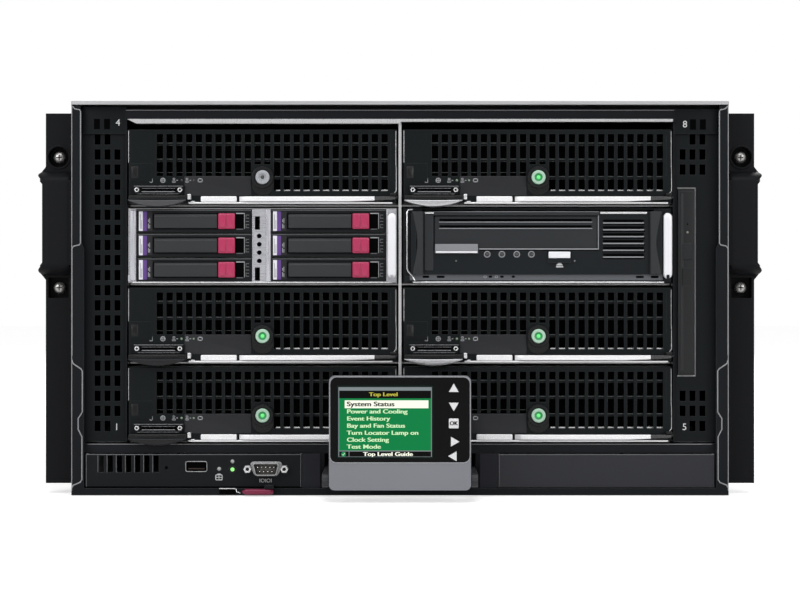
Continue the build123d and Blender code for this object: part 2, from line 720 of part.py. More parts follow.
# Storage blade
# A case of the same size that holds six small disc sleds in two banks of three, parted by
# a bright centre strip, with a moulded handle at its right end.
SLED_CASE_SHEET = 0.6
BANK_LEFT = 5.9
BANK_WIDTH = 78.0
CENTRE_STRIP_WIDTH = 12.6
SLED_SHELF = 0.5
SLED_GAP = 0.25
SLED_DEPTH = 110.0
SLED_FACE = 4.0
SLED_GRIP = 43.6
SLED_GRIP_HEIGHT = 9.6
SLED_GRIP_LEFT = 10.6
SLED_LATCH = 11.2
SLED_LATCH_HEIGHT = 10.4
SLED_LATCH_LEFT = 54.9
SLED_RECESS = 6.2
SLED_ROWS = 3
SLED_COLUMNS = 2
SLED_PROUD = 1.6
DISC_WIDTH = 70.0
DISC_HEIGHT = 12.5
STRIP_SLOT_WIDTH = 3.4
STRIP_SLOT_HEIGHT = 9.0
STRIP_SLOT_LEFT = 1.8
STRIP_SLOT_FLOORS = (1.4, 35.9)
HANDLE_WIDTH = 6.0
HANDLE_DEPTH = 5.0
HANDLE_PIN_RADIUS = 1.2
HANDLE_PIVOT = 5.0
HANDLE_TOP_GAP = 3.4
HANDLE_BEVEL = 1.4
HANDLE_LUG = 2.0
HANDLE_SLOT_HEIGHT = 4.0


def sled_bank(column):
    """The left end of a bank of sleds, from the storage blade's corner."""
    return BANK_LEFT + column * (BANK_WIDTH + CENTRE_STRIP_WIDTH)


def sled_pitch():
    """The sleds of a bank share the case's inner height."""
    return (BLADE_HEIGHT - 2 * SLED_CASE_SHEET) / SLED_ROWS


def end_handle_x():
    """The left and right limits of the upright handle at a blade's right end."""
    right = BLADE_WIDTH - SEAT_GAP
    return right - HANDLE_WIDTH, right


def handle_lug(back):
    """The ear inside the handle's slotted foot, bored for the handle's cross pin."""
    left, right = end_handle_x()
    middle = (left + right) / 2
    ends = (middle - HANDLE_LUG / 2, middle + HANDLE_LUG / 2)
    pin_y = BEZEL_FRONT - HANDLE_DEPTH / 2
    half = HANDLE_DEPTH / 2 - SEAT_GAP
    lug = block(ends, (pin_y - half, back), (HANDLE_PIVOT - half, HANDLE_PIVOT + half))
    hole = Pos(pin_y, HANDLE_PIVOT) * many_sided(HANDLE_PIN_RADIUS + PIVOT_GAP)
    return lug - side_slab(hole, ends[0] - OVERRUN, ends[1] + OVERRUN)


def end_handle():
    """An upright bevelled bar on a many-sided foot, slotted there for the lug and its cross pin."""
    left, right = end_handle_x()
    pin_y = BEZEL_FRONT - HANDLE_DEPTH / 2
    half = HANDLE_DEPTH / 2 - SEAT_GAP
    top = BLADE_HEIGHT - HANDLE_TOP_GAP
    plan = polygon([
        (left, pin_y + half),
        (left, pin_y - half + HANDLE_BEVEL),
        (left + HANDLE_BEVEL, pin_y - half),
        (right - HANDLE_BEVEL, pin_y - half),
        (right, pin_y - half + HANDLE_BEVEL),
        (right, pin_y + half),
    ])
    grip = flat_slab(plan, HANDLE_PIVOT, top)
    grip += side_slab(Pos(pin_y, HANDLE_PIVOT) * many_sided(half), left, right)
    slot = HANDLE_LUG / 2 + SEAT_GAP
    middle = (left + right) / 2
    grip -= block((middle - slot, middle + slot), (pin_y - HANDLE_DEPTH, pin_y + HANDLE_DEPTH),
                  (0, HANDLE_PIVOT + HANDLE_SLOT_HEIGHT))
    pin = Pos(pin_y, HANDLE_PIVOT) * many_sided(HANDLE_PIN_RADIUS)
    return grip + side_slab(pin, left + PLATE, right - PLATE)


def storage_blade():
    case_front = BEZEL_FRONT + PLATE
    outside = block((0, BLADE_WIDTH), (case_front, BLADE_BACK), (0, BLADE_HEIGHT))
    sheet = SLED_CASE_SHEET
    inside = block((sheet, BLADE_WIDTH - sheet), (case_front - OVERRUN, BLADE_BACK - sheet),
                   (sheet, BLADE_HEIGHT - sheet))
    pieces = [outside - inside]
    strip_left = BANK_LEFT + BANK_WIDTH
    strip = area((strip_left, strip_left + CENTRE_STRIP_WIDTH), (sheet, BLADE_HEIGHT - sheet))
    slot_left = strip_left + STRIP_SLOT_LEFT
    for slot_floor in STRIP_SLOT_FLOORS:
        slot_rise = (slot_floor, slot_floor + STRIP_SLOT_HEIGHT)
        strip -= area((slot_left, slot_left + STRIP_SLOT_WIDTH), slot_rise)
    pieces.append(front_slab(strip, BEZEL_FRONT, BEZEL_FRONT + PLATE))
    for edge in (strip_left, strip_left + CENTRE_STRIP_WIDTH - PLATE):
        pieces.append(block((edge, edge + PLATE), (BEZEL_FRONT + PLATE, BEZEL_FRONT + SLED_DEPTH),
                            (sheet, BLADE_HEIGHT - sheet)))
    pieces.append(block((sheet, BANK_LEFT - SEAT_GAP), (BEZEL_FRONT, BEZEL_FRONT + SLED_DEPTH),
                        (sheet, BLADE_HEIGHT - sheet)))
    right_bank = sled_bank(1) + BANK_WIDTH
    pieces.append(block((right_bank, BLADE_WIDTH - sheet), (BEZEL_FRONT, BEZEL_FRONT + SLED_DEPTH),
                        (sheet, BLADE_HEIGHT - sheet)))
    for column in range(SLED_COLUMNS):
        left = sled_bank(column)
        for row in range(1, SLED_ROWS):
            middle = sheet + row * sled_pitch()
            half = SLED_SHELF / 2
            pieces.append(block((left, left + BANK_WIDTH),
                                (BEZEL_FRONT + 2 * SLED_FACE, BEZEL_FRONT + SLED_DEPTH),
                                (middle - half, middle + half)))
    backplane = BEZEL_FRONT + SLED_DEPTH + RUN_GAP
    pieces.append(block((sheet, BLADE_WIDTH - sheet), (backplane, backplane + BOARD_SHEET),
                        (sheet, BLADE_HEIGHT - sheet)))
    return pieces + [blade_plug(), handle_lug(BEZEL_FRONT)]


def drive_sled(column, row):
    """A disc on its carrier: the front face, the grip plate and the latch, then the disc."""
    left = sled_bank(column) + SLED_GAP
    right = sled_bank(column) + BANK_WIDTH - SLED_GAP
    sheet = SLED_CASE_SHEET
    floor = sheet + row * sled_pitch() + SLED_SHELF / 2 + SLED_GAP
    top = sheet + (row + 1) * sled_pitch() - SLED_SHELF / 2 - SLED_GAP
    middle = (floor + top) / 2
    front = BEZEL_FRONT
    face = block((left, right), (front, front + SLED_FACE), (floor, top))
    well = SLED_FACE / 2
    half = SLED_LATCH_HEIGHT / 2
    latch_left = left + SLED_LATCH_LEFT
    hollow_left = left + SLED_GRIP_LEFT
    face -= block((hollow_left, latch_left + SLED_LATCH + SLED_RECESS), (front - OVERRUN, front + well),
                  (middle - half - SLED_GAP, middle + half + SLED_GAP))
    grip_half = SLED_GRIP_HEIGHT / 2
    face += block((hollow_left + PLATE, hollow_left + SLED_GRIP), (front - SLED_PROUD, front + well),
                  (middle - grip_half, middle + grip_half))
    face += block((latch_left, latch_left + SLED_LATCH), (front - SLED_PROUD, front + well),
                  (middle - half, middle + half))
    disc_left = (left + right - DISC_WIDTH) / 2
    disc = block((disc_left, disc_left + DISC_WIDTH), (front + SLED_FACE, front + SLED_DEPTH),
                 (middle - DISC_HEIGHT / 2, middle + DISC_HEIGHT / 2))
    return face + disc


x, z = bay_corner(STORAGE_BAY)
place = Pos(x, 0, z)
save("storage_blade", *[place * piece for piece in storage_blade()])
save("storage_handle", place * end_handle())
for column in range(SLED_COLUMNS):
    for row in range(SLED_ROWS):
        save(f"drive_sled_{1 + column * SLED_ROWS + row}", place * drive_sled(column, row))


# Tape blade
# A case that carries a half-height cartridge drive behind a moulded face with a recessed
# cartridge door, a row of lamps, an eject key and a vent.
TAPE_FACE_LEFT = 12.8
TAPE_FACE_RIGHT = 169.0
TAPE_FACE_FLOOR = 5.6
TAPE_FACE_HEIGHT = 42.4
TAPE_FACE_DEPTH = 9.0
TAPE_FACE_PROUD = 2.0
DOOR_LEFT = 20.0
DOOR_WIDTH = 112.0
DOOR_FLOOR = 21.4
DOOR_HEIGHT = 24.0
DOOR_RECESS = 3.0
DOOR_SLOT_HEIGHT = 1.8
DOOR_SLOT_FLOORS = (33.0, 37.8)
TAPE_KEY_LEFT = 97.5
TAPE_KEY_WIDTH = 15.4
TAPE_KEY_FLOOR = 13.4
TAPE_KEY_HEIGHT = 4.7
TAPE_KEY_PROUD = 1.4
TAPE_VENT_LEFT = 134.3
TAPE_VENT_WIDTH = 28.7
TAPE_VENTS = 6
TAPE_VENT_FLOOR = 15.8
TAPE_VENT_PITCH = 4.6
TAPE_VENT_HEIGHT = 2.2
TAPE_SILL_HEIGHT = 4.4
ARCH_LEFTS = (5.4, 171.0)
ARCH_WIDTH = 3.2
ARCH_DEPTH = 5.0
CARTRIDGE_DRIVE_DEPTH = 203.0


def tape_blade():
    case_front = BEZEL_FRONT + BEZEL_PLATE
    pieces = [blade_case(case_front)]
    left, right = TAPE_FACE_LEFT, TAPE_FACE_RIGHT
    floor = TAPE_FACE_FLOOR
    top = floor + TAPE_FACE_HEIGHT
    front = BEZEL_FRONT - TAPE_FACE_PROUD
    face = block((left, right), (front, front + TAPE_FACE_DEPTH), (floor, top))
    face -= block((DOOR_LEFT, DOOR_LEFT + DOOR_WIDTH), (front - OVERRUN, front + DOOR_RECESS),
                  (DOOR_FLOOR, DOOR_FLOOR + DOOR_HEIGHT))
    for slot in DOOR_SLOT_FLOORS:
        face -= block((DOOR_LEFT + DOOR_RECESS, DOOR_LEFT + DOOR_WIDTH - DOOR_RECESS),
                      (front, front + 2 * DOOR_RECESS), (slot, slot + DOOR_SLOT_HEIGHT))
    for vent in range(TAPE_VENTS):
        low = TAPE_VENT_FLOOR + vent * TAPE_VENT_PITCH
        face -= block((TAPE_VENT_LEFT, TAPE_VENT_LEFT + TAPE_VENT_WIDTH),
                      (front - OVERRUN, front + 2 * DOOR_RECESS),
                      (low, low + TAPE_VENT_HEIGHT))
    face += block((TAPE_KEY_LEFT, TAPE_KEY_LEFT + TAPE_KEY_WIDTH), (front - TAPE_KEY_PROUD, front),
                  (TAPE_KEY_FLOOR, TAPE_KEY_FLOOR + TAPE_KEY_HEIGHT))
    pieces.append(face)
    inside = front + TAPE_FACE_DEPTH
    pieces.append(block((left, right), (inside, inside + CARTRIDGE_DRIVE_DEPTH), (CASE_SHEET, top)))
    case_right = BLADE_WIDTH - CASE_SHEET
    pieces.append(block((CASE_SHEET, case_right), (BEZEL_FRONT, case_front), (CASE_SHEET, TAPE_SILL_HEIGHT)))
    for low_left, low_right in ((CASE_SHEET, left - SEAT_GAP), (right + SEAT_GAP, case_right)):
        pieces.append(block((low_left, low_right), (case_front - PLATE, case_front),
                            (TAPE_SILL_HEIGHT, BLADE_HEIGHT - CASE_SHEET)))
    for arch in ARCH_LEFTS:
        profile = area((BEZEL_FRONT - ARCH_DEPTH, case_front - PLATE), (floor, top - PLATE))
        profile -= area((BEZEL_FRONT - ARCH_DEPTH + PLATE, case_front), (floor + PLATE, top - 2 * PLATE))
        pieces.append(side_slab(profile, arch, arch + ARCH_WIDTH))
    return pieces + [blade_plug(), handle_lug(case_front - PLATE)]


x, z = bay_corner(TAPE_BAY)
place = Pos(x, 0, z)
save("tape_blade", *[place * piece for piece in tape_blade()])
save("tape_handle", place * end_handle())


# Management module
# A long drawer under the left bays: a tray with its board, and a face plate with vents,
# a square port and a trapezoid port between two posts. A small latch lever turns on a lug.
MODULE_OUTSIDE = 211.7
MODULE_DEPTH = 260.0
MODULE_VENTS = 7
MODULE_VENT_LEFT = 10.2
MODULE_VENT_PITCH = 6.15
MODULE_VENT_WIDTH = 4.2
MODULE_VENT_HEIGHT = 11.5
MODULE_VENT_DROP = 6.8
USB_LEFT = 67.4
USB_WIDTH = 14.4
USB_HEIGHT = 6.8
USB_FLOOR = 15.8
USB_WALL = 0.6
USB_TONGUE = 2.0
SERIAL_LEFT = 113.6
SERIAL_WIDTH = 16.0
SERIAL_HEIGHT = 8.4
SERIAL_FLOOR = 13.4
SERIAL_SLOPE = 1.4
SERIAL_PROUD = 5.0
SERIAL_WALL = 0.8
POST_RADIUS = 2.2
POST_FLAT_COUNT = 6
POST_PROUD = 4.0
POST_SPACING = 25.0
PORT_DEPTH = 14.0
LATCH_PIVOT_INSET = 21.4
LATCH_LENGTH = 17.0
LATCH_DEPTH = 6.0
LATCH_FLOOR = 0.6
LATCH_LUG_HEIGHT = 2.4
LATCH_PIN_RADIUS = 1.5


def module_shell(left, right, depth):
    """A faced drawer: a folded tray with a front plate, both open at the top."""
    front = TRAY_FRONT
    top = RAIL_FLOOR - SEAT_GAP
    outer = area((left, right), (TRAY_FLOOR, top))
    inner = area((left + PLATE, right - PLATE), (TRAY_FLOOR + PLATE, top + OVERRUN))
    tray = front_slab(outer - inner, front + SHEET, front + depth)
    return tray, area((left, right), (TRAY_FLOOR, top))


def latch_pivot():
    """The latch lever's pivot, seen from above."""
    return -CHEEK_OUTSIDE - SEAT_GAP - LATCH_PIVOT_INSET, FRONT - SEAT_GAP - LATCH_DEPTH / 2


def management_module():
    left = -MODULE_OUTSIDE
    right = -CHEEK_OUTSIDE - SEAT_GAP
    tray, face = module_shell(left, right, MODULE_DEPTH)
    front = TRAY_FRONT
    middle = RAIL_FLOOR - MODULE_VENT_DROP
    for vent in range(MODULE_VENTS):
        x = left + MODULE_VENT_LEFT + vent * MODULE_VENT_PITCH
        face -= Pos(x, middle) * Rectangle(MODULE_VENT_WIDTH, MODULE_VENT_HEIGHT)
    usb = area((left + USB_LEFT, left + USB_LEFT + USB_WIDTH), (USB_FLOOR, USB_FLOOR + USB_HEIGHT))
    mouth = offset(usb, -USB_WALL, kind=Kind.INTERSECTION)
    serial_left = left + SERIAL_LEFT
    serial = polygon([
        (serial_left + SERIAL_SLOPE, SERIAL_FLOOR),
        (serial_left + SERIAL_WIDTH - SERIAL_SLOPE, SERIAL_FLOOR),
        (serial_left + SERIAL_WIDTH, SERIAL_FLOOR + SERIAL_HEIGHT),
        (serial_left, SERIAL_FLOOR + SERIAL_HEIGHT),
    ])
    socket = offset(serial, -SERIAL_WALL, kind=Kind.INTERSECTION)
    plate = front_slab(face - usb - serial, front, front + SHEET)
    port_back = front + PORT_DEPTH
    pieces = [tray, plate]
    pieces.append(front_slab(usb - mouth, front, port_back))
    tongue_floor = USB_FLOOR + (USB_HEIGHT + USB_WALL) / 2
    pieces.append(block((left + USB_LEFT + 2 * USB_WALL, left + USB_LEFT + USB_WIDTH - 2 * USB_WALL),
                        (front + SHEET, port_back), (tongue_floor, tongue_floor + USB_TONGUE)))
    shell = front_slab(serial, front - SERIAL_PROUD, port_back)
    pieces.append(shell - front_slab(socket, front - SERIAL_PROUD - OVERRUN, front))
    centre = serial_left + SERIAL_WIDTH / 2
    height = SERIAL_FLOOR + SERIAL_HEIGHT / 2
    for side in (-1, 1):
        x = centre + side * POST_SPACING / 2
        post = Pos(x, height) * RegularPolygon(POST_RADIUS, POST_FLAT_COUNT)
        pieces.append(front_slab(post, front - POST_PROUD, front))
    pieces.append(block((left + 2 * PLATE, right - 2 * PLATE), (port_back, front + MODULE_DEPTH),
                        (TRAY_FLOOR + PLATE, TRAY_FLOOR + PLATE + BOARD_SHEET)))
    x, y = latch_pivot()
    half = LATCH_DEPTH / 2
    lug = block((x - half, x + half), (y - half, front), (TRAY_FLOOR, TRAY_FLOOR + LATCH_LUG_HEIGHT))
    pin = flat_slab(Pos(x, y) * many_sided(LATCH_PIN_RADIUS), LATCH_FLOOR, TRAY_FLOOR)
    pieces.append(lug + pin)
    return pieces


def management_lever():
    """A small flat latch lever, round where it turns on the pin under the module's lug."""
    x, y = latch_pivot()
    half = LATCH_DEPTH / 2
    tip = x + half - LATCH_LENGTH
    plan = polygon([(x, y - half), (tip + half, y - half), (tip, y), (tip + half, y + half), (x, y + half)])
    plan = plan + Pos(x, y) * Circle(half) - Pos(x, y) * many_sided(LATCH_PIN_RADIUS + PIVOT_GAP)
    return flat_slab(plan, LATCH_FLOOR, LIP_HEIGHT)


def spare_module_cover():
    """The blank drawer under the right bays: a face plate and a short tray behind it."""
    tray, face = module_shell(CHEEK_OUTSIDE + SEAT_GAP, MODULE_OUTSIDE, CHEEK_DEPTH)
    return [tray, front_slab(face, TRAY_FRONT, TRAY_FRONT + SHEET)]


save("management_module", *management_module())
save("management_lever", management_lever())
save("spare_module_cover", *spare_module_cover())


# Pop-up display
# A carriage slides out of the dock on two arms. The display stands on the arms' pins and
# folds back flat between them. Its housing carries the screen and five keys.
DISPLAY_HEIGHT = 74.0
DISPLAY_DEPTH = 12.0
DISPLAY_BACK = 70.0
DISPLAY_ROUND = 3.5
HINGE_PIN_RADIUS = 2.0
HINGE_PIN_LENGTH = 6.0
CARRIAGE_REACH = 150.0
CARRIAGE_PLATE = 2.5
SCREEN_LEFT = 5.0
SCREEN_WIDTH = 62.8
SCREEN_HEIGHT = 47.6
SCREEN_FLOOR = 20.6
SCREEN_POCKET = 2.0
SCREEN_GLASS = 1.4
KEY_COLUMN = 80.8
KEY_SIZE = 6.4
KEY_PROUD = 0.8
KEY_POCKET = 5.0
KEY_LENGTH = 4.4
KEY_HEIGHTS = {"up": 65.6, "down": 55.0, "ok": 43.4, "right": 31.6, "left": 22.2}
KEY_TURNS = {"up": 90, "down": -90, "right": 0, "left": 180}


def hinge_line():
    """The display's hinge axis, seen from the side."""
    return -DISPLAY_BACK - DISPLAY_DEPTH / 2, DISPLAY_FLOOR + DISPLAY_HINGE


def key_outline(name, grow):
    """A key's outline in the front view: triangles that point their way, and a square."""
    place = Pos(-DISPLAY_WIDTH / 2 + KEY_COLUMN, DISPLAY_FLOOR + KEY_HEIGHTS[name])
    if name == "ok":
        return place * Rectangle(KEY_SIZE + 2 * grow, KEY_SIZE + 2 * grow)
    reach = KEY_SIZE / math.sqrt(3) + 2 * grow
    return place * Rot(0, 0, KEY_TURNS[name]) * RegularPolygon(reach, 3)


def display_housing():
    half = DISPLAY_WIDTH / 2
    front = -DISPLAY_BACK - DISPLAY_DEPTH
    top = DISPLAY_FLOOR + DISPLAY_HEIGHT
    outline = RectangleRounded(DISPLAY_WIDTH, DISPLAY_HEIGHT, DISPLAY_ROUND)
    body = front_slab(Pos(0, (DISPLAY_FLOOR + top) / 2) * outline, front, -DISPLAY_BACK)
    left = -half + SCREEN_LEFT
    screen = ((left, left + SCREEN_WIDTH), (front - OVERRUN, front + SCREEN_POCKET),
              (DISPLAY_FLOOR + SCREEN_FLOOR, DISPLAY_FLOOR + SCREEN_FLOOR + SCREEN_HEIGHT))
    body -= block(*screen)
    for name in KEY_HEIGHTS:
        body -= front_slab(key_outline(name, SEAT_GAP), front - OVERRUN, front + KEY_POCKET)
    y, z = hinge_line()
    for side in (-1, 1):
        ends = sorted((side * (half - HINGE_PIN_LENGTH), side * (half + OVERRUN)))
        body -= side_slab(Pos(y, z) * many_sided(HINGE_PIN_RADIUS + PIVOT_GAP), *ends)
    return body


def display_screen():
    left = -DISPLAY_WIDTH / 2 + SCREEN_LEFT
    front = -DISPLAY_BACK - DISPLAY_DEPTH + SCREEN_POCKET
    floor = DISPLAY_FLOOR + SCREEN_FLOOR
    return block((left, left + SCREEN_WIDTH), (front - SCREEN_GLASS, front), (floor, floor + SCREEN_HEIGHT))


def display_key(name):
    front = -DISPLAY_BACK - DISPLAY_DEPTH - KEY_PROUD
    return front_slab(key_outline(name, 0), front, front + KEY_LENGTH)


def display_carriage():
    half = ARM_INSIDE
    y, z = hinge_line()
    end = ARM_HEIGHT / 2
    profile = area((y, CARRIAGE_REACH), (z - end, z + end)) + Pos(y, z) * many_sided(end)
    start = y + DISPLAY_HEIGHT
    carriage = block((-half, half), (start, CARRIAGE_REACH), (z - end, z - end + CARRIAGE_PLATE))
    for side in (-1, 1):
        inner = side * half
        outer = side * (half + ARM_THICKNESS)
        carriage += side_slab(profile, min(inner, outer), max(inner, outer))
        ends = sorted((side * (half - HINGE_PIN_LENGTH), inner + side * PLATE))
        carriage += side_slab(Pos(y, z) * many_sided(HINGE_PIN_RADIUS), *ends)
    return carriage


save("display_carriage", display_carriage())
save("display_housing", display_housing())
save("display_screen", display_screen())
for name in KEY_HEIGHTS:
    save(f"key_{name}", display_key(name))


# Midplane
# The board that all the modules plug into, with a socket for each blade in front and one
# for each rear module behind.
def midplane():
    pieces = [block((-PAN_INSIDE, PAN_INSIDE), (BOARD_FRONT, BOARD_BACK), (SHEET, COVER_FLOOR))]
    half = PLUG_WIDTH / 2
    floor = BOARD_STAND + BOARD_SHEET
    for bay in BAYS:
        x, z = bay_corner(bay)
        middle = x + BLADE_WIDTH / 2
        pieces.append(block((middle - half, middle + half), (SOCKET_FRONT, BOARD_FRONT),
                            (z + floor, z + floor + PLUG_HEIGHT)))
    for x, z in rear_sockets():
        pieces.append(block((x - REAR_PLUG_WIDTH / 2, x + REAR_PLUG_WIDTH / 2),
                            (BOARD_BACK, BOARD_BACK + SOCKET_DEPTH), (z, z + REAR_PLUG_HEIGHT)))
    return pieces


# Rear modules
# Behind the midplane a centre column stacks three rows of paired power supplies under four
# interconnect modules, and a column of three fans stands on each side of it.
REAR_PLUG_WIDTH = 40.0
REAR_PLUG_HEIGHT = 10.0
REAR_PLUG_RISE = 8.0
REAR_FACE = 2.0
SUPPLY_HEADROOM = 0.6
INLET_WIDTH = 27.0
INLET_HEIGHT = 19.0
INLET_DEPTH = 14.0
INLET_RISE = 10.0
INLET_INSET = 8.0
LATCH_TAB_WIDTH = 10.0
LATCH_TAB_HEIGHT = 22.0
LATCH_TAB_DEPTH = 8.0
FAN_RIM = 5.0
FAN_DEPTH = 92.0
ROTOR_GAP = 2.0
ROTOR_DEPTH = 34.0
HUB_SHARE = 0.46
ROTOR_BLADE = 1.6
ROTOR_TILT = 38.0
STRUT = 3.0
SWITCH_PORT_BAND = 12.0
SWITCH_PORT_DEPTH = 12.0
SWITCH_PORT_MARGIN = 14.0


def supply_pitch():
    return SUPPLY_HEIGHT + SEAT_GAP + PLATE + SUPPLY_HEADROOM


def switch_floor():
    """Where the interconnect stack starts, above the power supplies' last shelf."""
    return SHEET + SEAT_GAP + SUPPLY_ROWS * supply_pitch()


def switch_pitch():
    return (COVER_FLOOR - switch_floor()) / SWITCH_ROWS


def fan_pitch():
    return (COVER_FLOOR - SHEET) / FAN_ROWS


def rear_sockets():
    """The x and z of each rear socket's lower middle."""
    places = []
    for row in range(SUPPLY_ROWS):
        for side in (-1, 1):
            places.append((side * REAR_COLUMN / 4, SHEET + SEAT_GAP + row * supply_pitch() + REAR_PLUG_RISE))
    for row in range(SWITCH_ROWS):
        places.append((0, switch_floor() + row * switch_pitch() + REAR_PLUG_RISE))
    return places


def rear_frame():
    half = REAR_COLUMN / 2
    depth = (BOARD_BACK, BACK - REAR_FACE)
    pieces = []
    for side in (-1, 1):
        pieces.append(block((side * half, side * (half + SHEET)), depth, (SHEET, COVER_FLOOR)))
        for row in range(1, FAN_ROWS):
            top = SHEET + row * fan_pitch()
            pieces.append(block((side * (half + SHEET), side * PAN_INSIDE), depth, (top - PLATE, top)))
    for row in range(1, SUPPLY_ROWS + 1):
        top = SHEET + row * supply_pitch()
        pieces.append(block((-half, half), depth, (top - PLATE, top)))
    for row in range(1, SWITCH_ROWS):
        top = switch_floor() - SEAT_GAP + row * switch_pitch()
        pieces.append(block((-half, half), depth, (top - PLATE, top)))
    return pieces


def rear_plug(x, z):
    floor = z + REAR_PLUG_RISE
    return block((x - REAR_PLUG_WIDTH / 2, x + REAR_PLUG_WIDTH / 2),
                 (MODULE_FRONT - PLUG_DEPTH, MODULE_FRONT), (floor, floor + REAR_PLUG_HEIGHT))


def power_supply(side, floor):
    """A long box with a three-pin inlet sunk in its rear face and a latch tab beside it."""
    inner = side * SEAT_GAP
    outer = side * (REAR_COLUMN / 2 - SEAT_GAP)
    body = block((inner, outer), (MODULE_FRONT, BACK), (floor, floor + SUPPLY_HEIGHT))
    left = min(inner, outer) + INLET_INSET
    inlet = ((left, left + INLET_WIDTH), (BACK - INLET_DEPTH, BACK + OVERRUN),
             (floor + INLET_RISE, floor + INLET_RISE + INLET_HEIGHT))
    body -= block(*inlet)
    right = max(inner, outer) - INLET_INSET
    body += block((right - LATCH_TAB_WIDTH, right), (BACK, BACK + LATCH_TAB_DEPTH),
                  (floor + INLET_RISE, floor + INLET_RISE + LATCH_TAB_HEIGHT))
    return [body, rear_plug(side * REAR_COLUMN / 4, floor)]


def power_supplies():
    pieces = []
    for row in range(SUPPLY_ROWS):
        for side in (-1, 1):
            pieces += power_supply(side, SHEET + SEAT_GAP + row * supply_pitch())
    return pieces


def interconnect_modules():
    """Four flat modules across the column, each with one long sunk port band."""
    half = REAR_COLUMN / 2 - SEAT_GAP
    height = switch_pitch() - PLATE - 2 * SEAT_GAP
    pieces = []
    for row in range(SWITCH_ROWS):
        floor = switch_floor() + row * switch_pitch()
        body = block((-half, half), (MODULE_FRONT, BACK), (floor, floor + height))
        middle = floor + height / 2
        band = SWITCH_PORT_BAND / 2
        body -= block((-half + SWITCH_PORT_MARGIN, half - SWITCH_PORT_MARGIN),
                      (BACK - SWITCH_PORT_DEPTH, BACK + OVERRUN), (middle - band, middle + band))
        pieces += [body, rear_plug(0, floor)]
    return pieces


def fan_places():
    """The x and z of each fan's axis, left column first, and the half sizes of a fan's cell."""
    half_x = (PAN_INSIDE - REAR_COLUMN / 2 - SHEET) / 2 - SEAT_GAP
    half_z = (fan_pitch() - PLATE) / 2 - SEAT_GAP
    middle = (PAN_INSIDE + REAR_COLUMN / 2 + SHEET) / 2
    places = []
    for side in (-1, 1):
        for row in range(FAN_ROWS):
            places.append((side * middle, SHEET + row * fan_pitch() + (fan_pitch() - PLATE) / 2))
    return places, half_x, half_z


def fan_bore():
    _, half_x, half_z = fan_places()
    return min(half_x, half_z) - FAN_RIM


def fan_module(x, z, half_x, half_z):
    """A square housing with a round bore, and the motor's mount on four struts behind it."""
    front = BACK - FAN_DEPTH
    bore = Pos(x, z) * near_round(fan_bore() / math.cos(math.pi / ROUND_FLAT_COUNT))
    outline = area((x - half_x, x + half_x), (z - half_z, z + half_z)) - bore
    body = front_slab(outline, front, BACK)
    hub = fan_bore() * HUB_SHARE
    spider = Pos(x, z) * many_sided(hub)
    reach = fan_bore() + OVERRUN
    spider += area((x - reach, x + reach), (z - STRUT / 2, z + STRUT / 2))
    spider += area((x - STRUT / 2, x + STRUT / 2), (z - reach, z + reach))
    return body + front_slab(spider, BACK - STRUT, BACK)


def fan_rotor(x, z):
    """A hub with tilted flat blades, which turns just ahead of the motor's mount."""
    back = BACK - STRUT - RUN_GAP
    front = back - ROTOR_DEPTH
    hub = fan_bore() * HUB_SHARE
    middle = (front + back) / 2
    rotor = front_slab(Pos(x, z) * RegularPolygon(hub, HUB_FLAT_COUNT), front, back)
    lean = math.radians(ROTOR_TILT)
    length = (ROTOR_DEPTH - ROTOR_BLADE * math.sin(lean)) / math.cos(lean)
    sweep = (length * math.sin(lean) + ROTOR_BLADE) / 2
    tip = math.sqrt((fan_bore() - ROTOR_GAP) ** 2 - sweep ** 2)
    root = hub - STRUT
    for blade in range(FAN_BLADES):
        flat = Pos((root + tip) / 2, 0, 0) * Rot(ROTOR_TILT, 0, 0) * Box(tip - root, length, ROTOR_BLADE)
        rotor += Pos(x, middle, z) * Rot(0, 360 / FAN_BLADES * blade, 0) * flat
    return rotor


save("midplane", *midplane())
save("rear_frame", *rear_frame())
save("power_supplies", *power_supplies())
save("interconnect_modules", *interconnect_modules())
places, half_x, half_z = fan_places()
save("fan_modules", *[fan_module(x, z, half_x, half_z) for x, z in places])
for number, (x, z) in enumerate(places, start=1):
    save(f"fan_rotor_{number}", fan_rotor(x, z))
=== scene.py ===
import math

import bmesh
import bpy
import numpy as np
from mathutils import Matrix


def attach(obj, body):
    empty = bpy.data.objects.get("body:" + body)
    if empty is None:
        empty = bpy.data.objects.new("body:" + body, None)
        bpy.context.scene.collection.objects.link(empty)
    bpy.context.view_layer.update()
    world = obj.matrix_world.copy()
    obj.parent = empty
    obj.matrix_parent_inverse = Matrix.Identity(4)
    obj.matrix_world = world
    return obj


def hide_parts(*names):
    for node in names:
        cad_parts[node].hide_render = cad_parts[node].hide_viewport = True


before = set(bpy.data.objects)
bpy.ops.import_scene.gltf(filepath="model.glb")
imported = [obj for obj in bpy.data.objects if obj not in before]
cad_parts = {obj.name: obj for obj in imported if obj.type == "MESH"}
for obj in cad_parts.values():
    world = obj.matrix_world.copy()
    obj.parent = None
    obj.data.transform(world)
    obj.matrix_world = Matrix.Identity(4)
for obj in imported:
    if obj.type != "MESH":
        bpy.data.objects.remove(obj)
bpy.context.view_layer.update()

# Studio
# A white floor under a white room, seen straight from the front at the height of the
# enclosure's middle. Soft panels light it from above, from the front and from both sides.
VIEW_WIDTH_DEGREES = 21.78
VIEW_DISTANCE = 1.428
VIEW_HEIGHT = 0.1313
FLOOR_HALF = 9.0
FLOOR_DROP = 0.0004
FLOOR_WHITE = 0.86
FLOOR_GLOW = 0.5
ROOM_LEVEL = 0.55
